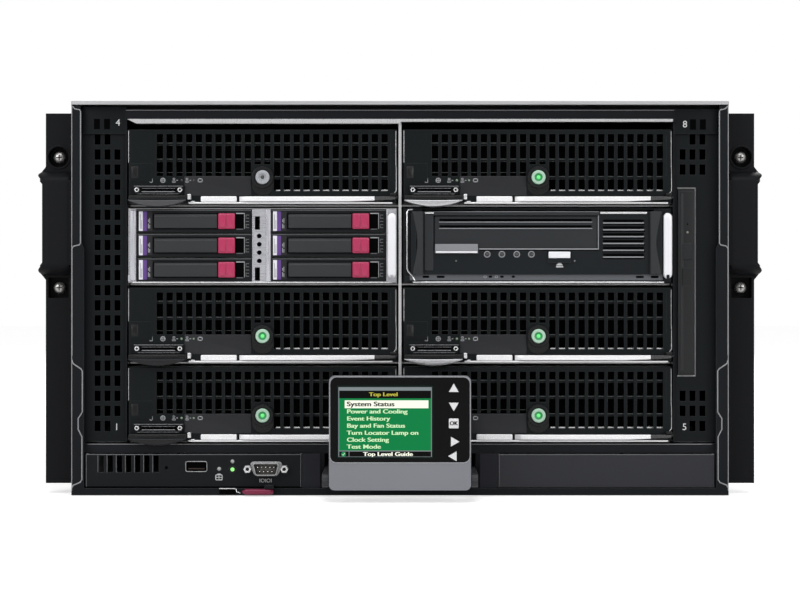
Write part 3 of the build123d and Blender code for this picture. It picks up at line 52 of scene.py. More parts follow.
PANELS = {
    "overhead": ((0.0, -0.9, 1.9), (0.0, -0.1, 0.1), 1.8, 22.0),
    "front_left": ((-1.9, -2.4, 1.3), (0.0, 0.0, 0.12), 1.4, 30.0),
    "front_right": ((1.9, -2.4, 1.1), (0.0, 0.0, 0.12), 1.2, 22.0),
    "behind": ((0.6, 2.8, 1.6), (0.0, 0.6, 0.1), 1.6, 30.0),
}


def set_inputs(node, **values):
    """Sets a node's sockets by name, with underscores for spaces. A colour's three numbers get an alpha."""
    for name, value in values.items():
        is_colour = "Color" in name
        node.inputs[name.replace("_", " ")].default_value = (*value, 1) if is_colour else value


def shown(made):
    """Links an object into the scene."""
    bpy.context.scene.collection.objects.link(made)
    return made


def sees_background(tree):
    """One where a ray comes from the camera or through a clear piece, zero elsewhere."""
    path = tree.nodes.new("ShaderNodeLightPath")
    both = tree.nodes.new("ShaderNodeMath")
    both.operation = "MAXIMUM"
    tree.links.new(path.outputs["Is Camera Ray"], both.inputs[0])
    tree.links.new(path.outputs["Is Transmission Ray"], both.inputs[1])
    return both.outputs[0]


camera = shown(bpy.data.objects.new("front_view", bpy.data.cameras.new("front_view")))
camera.data.angle = math.radians(VIEW_WIDTH_DEGREES)
camera.location = (0, -VIEW_DISTANCE, VIEW_HEIGHT)
camera.rotation_euler = (math.pi / 2, 0, 0)
bpy.context.scene.camera = camera
bpy.context.scene.view_settings.view_transform = "Standard"

room = bpy.data.worlds.new("white_room")
bpy.context.scene.world = room
room.use_nodes = True
tree = room.node_tree
level = tree.nodes.new("ShaderNodeMapRange")
level.inputs["To Min"].default_value = ROOM_LEVEL
tree.links.new(sees_background(tree), level.inputs["Value"])
set_inputs(tree.nodes["Background"], Color=(1, 1, 1))
tree.links.new(level.outputs["Result"], tree.nodes["Background"].inputs["Strength"])

floor_mesh = bpy.data.meshes.new("studio_floor")
corners = FLOOR_HALF * np.array([(-1, -1, 0), (1, -1, 0), (1, 1, 0), (-1, 1, 0)]) - (0, 0, FLOOR_DROP)
floor_mesh.from_pydata(corners.tolist(), [], [(0, 1, 2, 3)])
studio_floor = shown(bpy.data.objects.new("studio_floor", floor_mesh))
floor_white = bpy.data.materials.new("floor_white")
floor_white.use_nodes = True
tree = floor_white.node_tree
shader = tree.nodes["Principled BSDF"]
set_inputs(shader, Base_Color=[FLOOR_WHITE] * 3, Emission_Color=(1, 1, 1))
set_inputs(shader, Roughness=0.9, Specular_IOR_Level=0.1)
glow = tree.nodes.new("ShaderNodeMath")
glow.operation = "MULTIPLY"
glow.inputs[1].default_value = FLOOR_GLOW
tree.links.new(sees_background(tree), glow.inputs[0])
tree.links.new(glow.outputs[0], shader.inputs["Emission Strength"])
floor_mesh.materials.append(floor_white)

for name, (place, aim, size, power) in PANELS.items():
    lamp = bpy.data.lights.new(name, "AREA")
    lamp.size = size
    lamp.energy = power
    panel = shown(bpy.data.objects.new(name, lamp))
    line = np.array(aim) - np.array(place)
    tilt = math.acos(-line[2] / np.linalg.norm(line))
    panel.location = place
    panel.rotation_euler = (tilt, 0, math.atan2(line[1], line[0]) - math.pi / 2)

# Base pan
# One folded sheet of steel under satin black paint. Rolled beads stiffen the two front
# flanges. The beads and thin rods along the pan's outer front edges are light grey: painted
# highlights.
MM = 0.001
SMOOTH_DEGREES = 35
EDGE_WIDTH = 0.0004
EDGE_PALER = 0.35
GRAIN_DEPTH = 0.0003
GLOSS_SPREAD = 0.07
BLACK_PAINT = (0.0058, 0.0072, 0.0088)
PAN_BEAD_RADIUS = 0.45
PAN_EDGE_RADIUS = 0.3
PAN_EDGE_X = 220.7
PAN_EDGE_Z = (3.0, 262.0)
PAN_FRONT = -30.0
PAN_BEADS = [
    [(-220.6, 262.0), (-218.6, 259.8), (-215.4, 259.2), (-214.8, 258.0), (-214.8, 169.5), (-215.6, 168.4),
     (-219.6, 167.4), (-220.6, 165.6), (-220.6, 94.0)],
    [(-220.6, 91.0), (-219.9, 88.6), (-214.6, 85.0), (-213.6, 83.6), (-213.6, 56.0), (-216.4, 51.6),
     (-216.4, 44.4), (-213.9, 39.4), (-213.9, 10.4), (-215.2, 8.6), (-219.6, 6.8), (-220.6, 5.2)],
]


def node_group(name, takes, gives):
    """An empty node group with named sockets: takes holds (name, kind, value), gives holds (name, kind)."""
    group = bpy.data.node_groups.new(name, "ShaderNodeTree")
    for label, kind, value in takes:
        socket = group.interface.new_socket(name=label, in_out="INPUT", socket_type=f"NodeSocket{kind}")
        socket.default_value = value
    for label, kind in gives:
        group.interface.new_socket(name=label, in_out="OUTPUT", socket_type=f"NodeSocket{kind}")
    return group, group.nodes.new("NodeGroupInput"), group.nodes.new("NodeGroupOutput")


def use_group(tree, group):
    """Places a node group in a material."""
    node = tree.nodes.new("ShaderNodeGroup")
    node.node_tree = group
    return node


def surface_noise():
    """Node group: soft blotches and fine grain, both fractal noise on the piece's own coordinates."""
    takes = [("Blotches per metre", "Float", 9.0), ("Grains per metre", "Float", 2500.0)]
    group, source, result = node_group("surface_noise", takes, [("Blotch", "Float"), ("Grain", "Float")])
    place = group.nodes.new("ShaderNodeTexCoord")
    for slot, name, detail in ((0, "Blotch", 4.0), (1, "Grain", 2.0)):
        noise = group.nodes.new("ShaderNodeTexNoise")
        noise.inputs["Detail"].default_value = detail
        group.links.new(place.outputs["Object"], noise.inputs["Vector"])
        group.links.new(source.outputs[slot], noise.inputs["Scale"])
        group.links.new(noise.outputs["Fac"], result.inputs[name])
    return group


def wear_and_highlight_edges():
    """Node group: a mask of the sharp edges, from how far the rounded normal leans off the flat one. Edges
    turn paler by it, partly as wear and partly as a painted highlight.
    """
    takes = [("Width", "Float", EDGE_WIDTH)]
    group, source, result = node_group("wear_and_highlight_edges", takes, [("Mask", "Float"), ("Normal", "Vector")])
    bevel = group.nodes.new("ShaderNodeBevel")
    bevel.samples = 3
    group.links.new(source.outputs["Width"], bevel.inputs["Radius"])
    flat = group.nodes.new("ShaderNodeNewGeometry")
    lean = group.nodes.new("ShaderNodeVectorMath")
    lean.operation = "DOT_PRODUCT"
    group.links.new(bevel.outputs["Normal"], lean.inputs[0])
    group.links.new(flat.outputs["Normal"], lean.inputs[1])
    mask = group.nodes.new("ShaderNodeMapRange")
    set_inputs(mask, From_Min=0.995, From_Max=0.85)
    group.links.new(lean.outputs["Value"], mask.inputs["Value"])
    group.links.new(mask.outputs["Result"], result.inputs["Mask"])
    group.links.new(bevel.outputs["Normal"], result.inputs["Normal"])
    return group


NOISE = surface_noise()
EDGES = wear_and_highlight_edges()


def mixed(tree, share, low, high):
    """A colour between two others, by a share that changes over the surface."""
    mix = tree.nodes.new("ShaderNodeMix")
    mix.data_type = "RGBA"
    tree.links.new(share, mix.inputs["Factor"])
    for slot, value in ((6, low), (7, high)):
        if isinstance(value, bpy.types.NodeSocket):
            tree.links.new(value, mix.inputs[slot])
        else:
            mix.inputs[slot].default_value = (*value, 1)
    return mix.outputs[2]


def ranged(tree, share, low, high, start=0.0, end=1.0):
    """A value between two others, as a share runs from start to end."""
    node = tree.nodes.new("ShaderNodeMapRange")
    set_inputs(node, From_Min=start, From_Max=end, To_Min=low, To_Max=high)
    tree.links.new(share, node.inputs["Value"])
    return node.outputs["Result"]


def painted(name, colour, rough=0.42, shine=0.1, edge_wear_and_highlight=0.16, grain=0.06, metal=0.0, blotch=0.14):
    """Paint or moulding: the colour drifts a little in blotches, grain roughens it, and edges turn paler,
    partly as wear and partly as a painted highlight.
    """
    material = bpy.data.materials.new(name)
    material.use_nodes = True
    tree = material.node_tree
    shader = tree.nodes["Principled BSDF"]
    set_inputs(shader, Specular_IOR_Level=shine, Metallic=metal)
    noise = use_group(tree, NOISE)
    edges = use_group(tree, EDGES)
    colour = np.array(colour)
    body = mixed(tree, noise.outputs["Blotch"], colour * (1 - blotch), colour * (1 + blotch))
    # Edges turn paler by this share: partly wear, partly a painted highlight.
    pale_edge_share = ranged(tree, edges.outputs["Mask"], 0.0, edge_wear_and_highlight)
    tone = mixed(tree, pale_edge_share, body, np.minimum(colour + EDGE_PALER, 1.0))
    tree.links.new(tone, shader.inputs["Base Color"])
    grained = ranged(tree, noise.outputs["Grain"], rough - GLOSS_SPREAD, rough + GLOSS_SPREAD)
    tree.links.new(grained, shader.inputs["Roughness"])
    bump = tree.nodes.new("ShaderNodeBump")
    set_inputs(bump, Strength=grain, Distance=GRAIN_DEPTH)
    tree.links.new(noise.outputs["Grain"], bump.inputs["Height"])
    tree.links.new(edges.outputs["Normal"], bump.inputs["Normal"])
    tree.links.new(bump.outputs["Normal"], shader.inputs["Normal"])
    return material


def dress(name, material):
    """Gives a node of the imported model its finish."""
    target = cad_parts[name]
    target.data.materials.clear()
    target.data.materials.append(material)


def place_piece(name, shape, material, body, move=(0, 0, 0)):
    """Makes one piece from points in millimetres and faces, with all its faces turned outwards."""
    points, faces = shape
    mesh = bpy.data.meshes.new(name)
    mesh.from_pydata(((np.asarray(points) + np.asarray(move)) * MM).tolist(), [], faces)
    solid = bmesh.new()
    solid.from_mesh(mesh)
    bmesh.ops.recalc_face_normals(solid, faces=solid.faces)
    solid.to_mesh(mesh)
    solid.free()
    mesh.materials.append(material)
    mesh.shade_smooth()
    mesh.set_sharp_from_angle(angle=math.radians(SMOOTH_DEGREES))
    made = shown(bpy.data.objects.new(name, mesh))
    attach(made, body)
    return made


def loft(x, y, z):
    """A closed skin through rings of points: quads join each ring to the next, a flat face shuts each end."""
    rings = np.stack(np.broadcast_arrays(x, y, z), axis=-1).astype(float)
    index = np.arange(rings.shape[0] * rings.shape[1]).reshape(rings.shape[:2])
    following = np.roll(index, -1, axis=1)
    quads = np.stack([index[:-1], following[:-1], following[1:], index[1:]], axis=-1).reshape(-1, 4)
    return rings.reshape(-1, 3), quads.tolist() + [index[0, ::-1].tolist(), index[-1].tolist()]


def gather(*shapes):
    """Several skins as one, each one's faces counted on from the last one's points."""
    points, faces, count = [], [], 0
    for some, sides in shapes:
        points.append(np.asarray(some, dtype=float))
        faces += [[corner + count for corner in side] for side in sides]
        count += len(some)
    return np.concatenate(points), faces


def bead(path, radius, y, sides=8):
    """A thin round bar carried along a path in the front view: each ring stands across the path's run."""
    path = np.asarray(path, dtype=float)
    run = np.gradient(path, axis=0)
    run /= np.linalg.norm(run, axis=1, keepdims=True)
    across = np.stack([-run[:, 1], run[:, 0]], axis=1)
    turn = np.linspace(0, 2 * np.pi, sides, endpoint=False)
    flat = path[:, None, :] + radius * np.cos(turn)[None, :, None] * across[:, None, :]
    return loft(flat[..., 0], y + radius * np.sin(turn), flat[..., 1])


dress("base_pan", painted("pan_paint", BLACK_PAINT, rough=0.4))
# Light grey for lines of painted highlight along edges and folds.
edge_highlight_grey = painted("edge_highlight_grey", (0.2, 0.2, 0.21), rough=0.3, shine=0.6, edge_wear_and_highlight=0.3)
bead_paths = [np.array(path) * (side, 1) for side in (1, -1) for path in PAN_BEADS]
beads = [bead(path, PAN_BEAD_RADIUS, PAN_FRONT) for path in bead_paths]
place_piece("pan_rolled_beads", gather(*beads), edge_highlight_grey, "chassis")
edge_heights = np.linspace(*PAN_EDGE_Z, 12)
edge_paths = [[(side * PAN_EDGE_X, z) for z in edge_heights] for side in (-1, 1)]
edge_highlight_rods = [bead(path, PAN_EDGE_RADIUS, PAN_FRONT) for path in edge_paths]
place_piece("pan_edge_highlights", gather(*edge_highlight_rods), edge_highlight_grey, "chassis")

# Top cover and bay dividers
# Flat sheets of zinc-plated steel, left bright. The rolling leaves faint streaks along
# the sheet, and the plating shows soft cloudy patches. The two side walls are painted.
ACROSS = (1, 0, 0)
BACKWARD = (0, 1, 0)
UPWARD = (0, 0, 1)
SIDE_WALL_X = (0.1838, 0.1866)
STREAKS_PER_METRE = 12.0


def rolling_streaks():
    """Node group: noise drawn out along the rolling direction, as a roughness between two limits."""
    takes = [("Stretch", "Vector", (1, 1, 1)), ("Smoothest", "Float", 0.2), ("Roughest", "Float", 0.4)]
    group, source, result = node_group("rolling_streaks", takes, [("Roughness", "Float")])
    place = group.nodes.new("ShaderNodeTexCoord")
    drawn = group.nodes.new("ShaderNodeMapping")
    streak = group.nodes.new("ShaderNodeTexNoise")
    streak.inputs["Scale"].default_value = STREAKS_PER_METRE
    gloss = group.nodes.new("ShaderNodeMapRange")
    set_inputs(gloss, From_Min=0.3, From_Max=0.7)
    group.links.new(place.outputs["Object"], drawn.inputs["Vector"])
    group.links.new(source.outputs["Stretch"], drawn.inputs["Scale"])
    group.links.new(drawn.outputs["Vector"], streak.inputs["Vector"])
    group.links.new(streak.outputs["Fac"], gloss.inputs["Value"])
    group.links.new(source.outputs["Smoothest"], gloss.inputs["To Min"])
    group.links.new(source.outputs["Roughest"], gloss.inputs["To Max"])
    group.links.new(gloss.outputs["Result"], result.inputs["Roughness"])
    return group


def band_mask():
    """Node group: one where a place's share along a direction lies within a half width of a middle."""
    takes = [("Direction", "Vector", ACROSS), ("Middle", "Float", 0.0), ("Half width", "Float", 0.001)]
    group, source, result = node_group("band_mask", takes, [("Mask", "Float"), ("Mirrored mask", "Float")])
    place = group.nodes.new("ShaderNodeTexCoord")
    along = group.nodes.new("ShaderNodeVectorMath")
    along.operation = "DOT_PRODUCT"
    group.links.new(place.outputs["Object"], along.inputs[0])
    group.links.new(source.outputs["Direction"], along.inputs[1])
    away = group.nodes.new("ShaderNodeMath")
    away.operation = "ABSOLUTE"
    group.links.new(along.outputs["Value"], away.inputs[0])
    for distance, name in ((along.outputs["Value"], "Mask"), (away.outputs[0], "Mirrored mask")):
        inside = group.nodes.new("ShaderNodeMath")
        inside.operation = "COMPARE"
        group.links.new(distance, inside.inputs[0])
        group.links.new(source.outputs["Middle"], inside.inputs[1])
        group.links.new(source.outputs["Half width"], inside.inputs[2])
        group.links.new(inside.outputs[0], result.inputs[name])
    return group


STREAKS = rolling_streaks()
BAND = band_mask()


def plated(name, colour=(0.62, 0.62, 0.63), rough=0.3, along=(4, 160, 160), metal=0.75, cloud=0.16):
    """Plated sheet: its tone drifts in cloudy patches, its gloss in streaks along the rolling."""
    material = painted(name, colour, rough=rough, shine=0.5, edge_wear_and_highlight=0.25, grain=0.03, metal=metal, blotch=cloud)
    tree = material.node_tree
    streaks = use_group(tree, STREAKS)
    set_inputs(streaks, Stretch=along, Smoothest=rough - 0.1, Roughest=rough + 0.12)
    tree.links.new(streaks.outputs["Roughness"], tree.nodes["Principled BSDF"].inputs["Roughness"])
    return material


def banded(material, direction, start, end, colour, mirrored=False):
    """Repaints a band of a painted material between two limits along one of the piece's own axes."""
    tree = material.node_tree
    shader = tree.nodes["Principled BSDF"]
    band = use_group(tree, BAND)
    set_inputs(band, Direction=direction, Middle=(start + end) / 2, Half_width=(end - start) / 2)
    mask = band.outputs["Mirrored mask" if mirrored else "Mask"]
    tone = shader.inputs["Base Color"].links[0].from_socket
    tree.links.new(mixed(tree, mask, tone, colour), shader.inputs["Base Color"])
    return material


divider_plating = plated("divider_plating", (0.52, 0.52, 0.53), 0.34, (160, 4, 160))
wall_finish = plated("wall_finish", (0.52, 0.52, 0.53), 0.34, (160, 4, 160))
dress("top_cover", plated("cover_plating", (0.4, 0.4, 0.41), 0.5))
dress("bay_dividers", banded(wall_finish, ACROSS, *SIDE_WALL_X, BLACK_PAINT, mirrored=True))

# Front rails
# Folded steel rails painted satin grey-black, with the moulded grey cheeks of the display's
# dock between the two drawers below them. Thin light grey strips along the crown rail's top
# fold and along the shelf rail are painted highlights.
DOCK_TOP = 0.0279
CROWN_HIGHLIGHT = ((-185.4, 186.4), (-23.75, -23.4), (259.3, 259.7))
SHELF_HIGHLIGHT = ((-211.0, 211.0), (-23.85, -23.4), (33.7, 34.1))


def rounded_outline(x, z, corner, inset, steps, least):
    """A rectangle in the front view with quarter circles at its corners, drawn in by an inset."""
    radius = np.maximum(corner - inset, least)
    angle = (np.linspace(0, np.pi / 2, steps + 1) + np.arange(4)[:, None] * np.pi / 2).ravel()
    sign_x = np.repeat([1, -1, -1, 1], steps + 1)
    sign_z = np.repeat([1, 1, -1, -1], steps + 1)
    across = (x[0] + x[1]) / 2 + sign_x * ((x[1] - x[0]) / 2 - inset - radius) + radius * np.cos(angle)
    upward = (z[0] + z[1]) / 2 + sign_z * ((z[1] - z[0]) / 2 - inset - radius) + radius * np.sin(angle)
    return across, upward


def rounded_box(x, y, z, edge, corner=None, steps=4):
    """A block with its front edge rounded over: rounded rectangles that draw in along a quarter circle."""
    corner = edge if corner is None else corner
    towards = math.copysign(1.0, y[1] - y[0])
    curve = np.linspace(0, np.pi / 2, steps + 1)
    inset = np.concatenate([[0.0], edge * (1 - np.cos(curve))])[:, None]
    depth = np.concatenate([[y[1]], y[0] + towards * edge * (1 - np.sin(curve))])[:, None]
    across, upward = rounded_outline(x, z, corner, inset, steps, 0.02)
    return loft(across, depth, upward)


rail_paint = painted("rail_paint", (0.009, 0.0098, 0.0122), rough=0.38)
dress("front_rails", banded(rail_paint, UPWARD, -0.01, DOCK_TOP, (0.014, 0.0145, 0.0185)))
# Thin light grey strips on the rails: painted highlights.
rail_highlights = gather(rounded_box(*CROWN_HIGHLIGHT, 0.1), rounded_box(*SHELF_HIGHLIGHT, 0.1))
place_piece("rail_edge_highlights", rail_highlights, edge_highlight_grey, "chassis")

# Vent panels
# Pressed steel panels in the same black paint, each with a plate at its top that holds the
# last two slots, drawn as flat black patches of painted shade. A plain number printed beside
# the slots tells which bay is level with it.
NUMBER_HEIGHT = 6.4
NUMBER_PROUD = 0.06
NUMBER_Y = -22.0
TOP_PLATE_Y = -24.2
TOP_PLATE_BACK = -23.4
TOP_PLATES = (((-214.4, -185.2), (243.4, 262.0)), ((185.2, 214.4), (243.4, 259.6)))
TOP_SLOTS = ((-204.6, 250.1), (-197.8, 250.1), (197.8, 249.8), (204.5, 249.8))
TOP_SLOT_HALF_X = 2.0
TOP_SLOT_HALF_Z = 3.5
NUMBERS = {
    "4": (-190.4, TOP_PLATE_Y, 250.9),
    "1": (-191.6, NUMBER_Y, 45.3),
    "8": (192.4, TOP_PLATE_Y, 249.8),
    "5": (192.4, NUMBER_Y, 45.3),
}


def grown(span, by):
    """A span made longer at both ends, or shorter by a negative length."""
    return (span[0] - by, span[1] + by)


def letters(name, words, height, thick, across="CENTER", bold=0.0):
    """Words as a thin flat mesh: the font's outlines, filled, in the letters' own plane."""
    curve = bpy.data.curves.new(name, "FONT")
    curve.body = words
    curve.size = height
    curve.align_x = across
    curve.align_y = "CENTER"
    curve.offset = bold
    curve.extrude = thick
    carrier = shown(bpy.data.objects.new(name, curve))
    bpy.context.view_layer.update()
    flat = bpy.data.meshes.new_from_object(carrier)
    bpy.data.objects.remove(carrier)
    spots = np.zeros(len(flat.vertices) * 3)
    flat.vertices.foreach_get("co", spots)
    sides = [list(face.vertices) for face in flat.polygons]
    bpy.data.meshes.remove(flat)
    return spots.reshape(-1, 3), sides


def printed(name, words, x, y, z, height, material, body, slot):
    """Print: letters stood up to face the front, just proud of a face at y."""
    spots, sides = letters(name, words, height, NUMBER_PROUD)
    stood = np.stack([spots[:, 0] + x, y - NUMBER_PROUD - spots[:, 2], spots[:, 1] + z], axis=1)
    return place_piece(name, (stood, sides), material, body)


vent_paint = painted("vent_paint", (0.0052, 0.0068, 0.0078), rough=0.36, edge_wear_and_highlight=0.1)
white_ink = painted("white_ink", (0.55, 0.56, 0.56), rough=0.6, edge_wear_and_highlight=0.0)
# Near-black for the insides of holes, slots, wells and recesses: painted shade.
hole_shade_black = painted("hole_shade_black", (0.001, 0.001, 0.0012), rough=0.8, shine=0.02, edge_wear_and_highlight=0.0)
dress("left_vent_panel", vent_paint)
dress("right_vent_panel", vent_paint)
top_plates = [rounded_box(x, (TOP_PLATE_Y, TOP_PLATE_BACK), z, 0.2, 0.3) for x, z in TOP_PLATES]
slot_y = (TOP_PLATE_Y - 0.05, TOP_PLATE_BACK)
top_slots = [rounded_box(grown((x, x), TOP_SLOT_HALF_X), slot_y, grown((z, z), TOP_SLOT_HALF_Z), 0.02)
             for x, z in TOP_SLOTS]
place_piece("vent_panel_top", gather(*top_plates), vent_paint, "chassis")
place_piece("vent_panel_top_slots", gather(*top_slots), hole_shade_black, "chassis")
for word, place in NUMBERS.items():
    printed(f"bay_number_{word}", word, *place, NUMBER_HEIGHT, white_ink, "chassis", "key_white")

# Rack ears
# Steel angles under moulded black covers with a fine matt texture. Each cover swells into a
# pull grip with a lip at both ends, and a cross-slotted screw sits in each recess.
GRIP_PLACES = (148.0, 219.0)
GRIP_FRONT = -27.0
GRIP_ROOT = -10.5
GRIP_OUT = (221.6, 241.5)
GRIP_LIP_OUT = 245.2
GRIP_LIP_LENGTH = 3.2
SCREWS = [(232.55, 139.7), (232.55, 228.6)]
SCREW_PROFILE = [(0, -9.6), (1.4, -9.55), (2.7, -9.2), (3.6, -8.4), (4.0, -7.3), (4.0, -4.0), (0, -4.0)]
SCREW_DRIVE = {"reach": 1.9, "width": 0.35, "front": -9.66, "back": -8.8}
RECESS_RING = [
    (8.4, -11.5), (8.2, -12.0), (7.7, -12.15), (7.2, -12.0), (7.0, -11.5), (7.0, -10.5), (8.4, -10.5),
]


def superellipse(power, sides):
    """Shares of a ring's half width and half depth: cosine and sine, each raised to a power below one."""
    turn = np.linspace(0, 2 * np.pi, sides, endpoint=False)
    wide = np.sign(np.cos(turn)) * np.abs(np.cos(turn)) ** power
    deep = np.sign(np.sin(turn)) * np.abs(np.sin(turn)) ** power
    return wide, deep


def turned(profile, x, z, sides=32):
    """A profile of (radius, depth) pairs turned about a line that runs from front to back."""
    profile = np.asarray(profile, dtype=float)
    turn = np.linspace(0, 2 * np.pi, sides, endpoint=False)
    return loft(x + profile[:, :1] * np.cos(turn), profile[:, 1:], z + profile[:, :1] * np.sin(turn))


def joined_round(shape, around):
    """A skin without its two end faces: quads join its last ring to its first, so that it meets itself."""
    points, faces = shape
    step = np.arange(around)
    beyond = (step + 1) % around
    last = len(points) - around
    join = np.stack([last + step, last + beyond, beyond, step], axis=-1)
    return points, faces[:-2] + join.tolist()


def hollow_ring(profile, x, z, sides=32):
    """A closed profile of (radius, depth) pairs turned about a line from front to back: a ring."""
    return joined_round(turned(profile, x, z, sides), sides)


def grip(side):
    """A swelling bar: a rounded rectangle in plan at each height, its front rising as a sine at the ends."""
    heights = np.linspace(*GRIP_PLACES, 60)[:, None]
    ends = np.minimum(heights - GRIP_PLACES[0], GRIP_PLACES[1] - heights)
    swell = np.sin(np.clip(ends / 7.0, 0, 1) * np.pi / 2) ** 0.7
    front = GRIP_ROOT + (GRIP_FRONT - GRIP_ROOT) * swell
    lip = np.exp(-((ends - 3.0) / GRIP_LIP_LENGTH) ** 2)
    outer = GRIP_OUT[1] + (GRIP_LIP_OUT - GRIP_OUT[1]) * lip
    wide, deep = superellipse(0.35, 40)
    x = side * ((GRIP_OUT[0] + outer) / 2 + (outer - GRIP_OUT[0]) / 2 * wide)
    y = (GRIP_ROOT + front) / 2 + ((GRIP_ROOT - front) / 2 + 0.01) * deep
    return loft(x, y, heights)


def cross_slots(x, z, reach, width, front, back):
    """Two crossed bars for a screw's drive."""
    return gather(rounded_box((x - reach, x + reach), (front, back), (z - width, z + width), 0.1),
                  rounded_box((x - width, x + width), (front, back), (z - reach, z + reach), 0.1))


ear_black = painted("ear_black", (0.0042, 0.0046, 0.0056), rough=0.5, grain=0.2, edge_wear_and_highlight=0.05)
screw_steel = plated("screw_steel", (0.42, 0.41, 0.4), 0.32, (40, 40, 40))
for side, word in ((-1, "left"), (1, "right")):
    places = [(side * x, z) for x, z in SCREWS]
    dress(f"{word}_rack_ear", ear_black)
    place_piece(f"{word}_ear_grip", grip(side), ear_black, "chassis")
    screws = [turned(SCREW_PROFILE, *place) for place in places]
    place_piece(f"{word}_ear_screws", gather(*screws), screw_steel, "chassis")
    drives = [cross_slots(*place, **SCREW_DRIVE) for place in places]
    place_piece(f"{word}_ear_screw_slots", gather(*drives), hole_shade_black, "chassis")
    recess_ring = hollow_ring(RECESS_RING, *places[1])
    place_piece(f"{word}_ear_recess_ring", recess_ring, ear_black, "chassis")

# Disc drive
# A slim upright drive. Its black moulded front has a fine seam round the tray's door, a
# rocker eject button, a pinhole for the release wire and a small lamp.
DRIVE_FRONT = -24.0
DRIVE_DOOR = ((188.4, 198.5), (DRIVE_FRONT - 0.5, DRIVE_FRONT + 0.2), (82.0, 205.0))
DRIVE_RIB = ((190.2, 191.0), (DRIVE_FRONT - 0.8, DRIVE_FRONT), (84.0, 203.0))
EJECT_BUTTON = ((190.9, 197.3), (DRIVE_FRONT - 1.3, DRIVE_FRONT), (158.4, 169.8))
DRIVE_LAMP = (194.1, 177.0)
DRIVE_LAMP_PROFILE = [
    (0, DRIVE_FRONT - 0.95), (0.6, DRIVE_FRONT - 0.85), (0.9, DRIVE_FRONT - 0.4), (0.9, DRIVE_FRONT),
]
DRIVE_PINHOLE = (194.1, 182.5)
DRIVE_PINHOLE_PROFILE = [(0, DRIVE_FRONT - 0.56), (0.55, DRIVE_FRONT - 0.56), (0.55, DRIVE_FRONT)]


def place_pieces(group, pieces, body, move=(0, 0, 0)):
    """Places the pieces of a group, given as name: (shape, material), all on one body."""
    for name, (shape, material) in pieces.items():
        place_piece(f"{group}_{name}", shape, material, body, move)


drive_black = painted("drive_black", (0.0065, 0.007, 0.008), rough=0.34, shine=0.3)
eject_grey = painted("eject_grey", (0.02, 0.021, 0.023), rough=0.3)
lamp_off = painted("lamp_off", (0.2, 0.19, 0.16), rough=0.2, shine=0.5, edge_wear_and_highlight=0)
dress("optical_tray", drive_black)
dress("optical_drive_case", divider_plating)
place_pieces("drive", {
    "door": (gather(rounded_box(*DRIVE_DOOR, 0.4, 1.2), rounded_box(*DRIVE_RIB, 0.25, 0.35)), drive_black),
    "eject_button": (rounded_box(*EJECT_BUTTON, 0.5, 1.6), eject_grey),
    "lamp": (turned(DRIVE_LAMP_PROFILE, *DRIVE_LAMP, 20), lamp_off),
    "pinhole": (turned(DRIVE_PINHOLE_PROFILE, *DRIVE_PINHOLE, 16), hole_shade_black),
}, "optical_tray")

# Server blades
# A plated steel case behind a black moulded bezel. The bezel carries a service port over a
# drop-down tab, printed symbols with two lamps, a lit power button in its own pillar, and
# below them the release key and the long silver cam lever.
BEZEL_Y = -24.0
PLATE_Y = -24.25
COLUMN_LEFTS = (-183.7, 2.2)
BAY_FLOORS = (35.9, 89.4, 142.9, 196.4)
SERVER_BAYS = (1, 2, 4, 5, 6, 8)
UNLIT_BAY = 4
CASE_FROM = -0.0208
SYMBOL_Z = 15.7
PRINT_RING = [(1.75, BEZEL_Y), (1.75, BEZEL_Y - 0.06), (1.2, BEZEL_Y - 0.06), (1.2, BEZEL_Y)]
LAMP_PLACES = (36.2, 44.4)
LAMP_PROFILE = [(0, BEZEL_Y - 0.55), (0.5, BEZEL_Y - 0.45), (0.85, BEZEL_Y - 0.1), (0.9, BEZEL_Y + 0.1)]
BUTTON_PLACE = (91.1, 17.6)
BOSS_PROFILE = [
    (7.4, -24.2), (7.4, -27.6), (7.1, -28.2), (6.5, -28.35), (5.6, -28.2), (5.15, -27.4), (5.15, -24.2),
]
CAP_PROFILE = [
    (0, -27.9), (1.7, -27.95), (2.1, -28.3), (2.4, -28.7), (3.6, -28.8), (4.3, -28.65), (4.75, -28.1),
    (4.8, -27.4), (4.8, -21.0), (2.0, -21.0), (2.0, -9.2), (0, -9.2),
]
CAP_EDGE_PROFILE = [(4.82, -27.6), (4.7, -28.6), (4.2, -29.0), (2.8, -28.95), (2.5, -27.6)]
CAP_LAMP_PROFILE = [(0, -28.6), (0.5, -28.55), (1.0, -28.3), (1.35, -27.9), (1.35, -27.6)]
PORT_FRONT = -27.0
JACK_PLACES = (6.4, 35.4)
JACK_Z = 9.1
JACK_PROFILE = [
    (0.8, -26.9), (0.8, -28.0), (1.0, -28.3), (1.5, -28.2), (1.8, -27.9), (1.8, -25.5), (0.8, -25.5),
]
LEVER_X = (75.3, 182.3)
LEVER_Z = 4.7
LEVER_PIVOT = (180.0, -26.6)
LEVER_REACH = 2.2
# Dark grey for the lever's curved end past the pivot: painted shade.
LEVER_END_SHADE = (0.045, 0.045, 0.047)
LIP_X = (0.8, 39.8)
LIP_Z = (-2.45, 2.3)
LIP_RISE = 4.3
SCREEN_RIB = ((19.0, 19.25), (BEZEL_Y - 0.12, BEZEL_Y + 0.1), (18.8, 46.8), 0.06, None, 1)
SCREEN_RIB_PITCH = 6.6
SCREEN_RIB_COUNT = 25
TAB_RIDGE = ((6.0, 34.0), (-30.7, -30.2), (2.6, 2.9), 0.12, None, 2)
TAB_RIDGE_PITCH = 0.75
KEY_RIB_PLACES = (51.2, 52.6, 54.0)
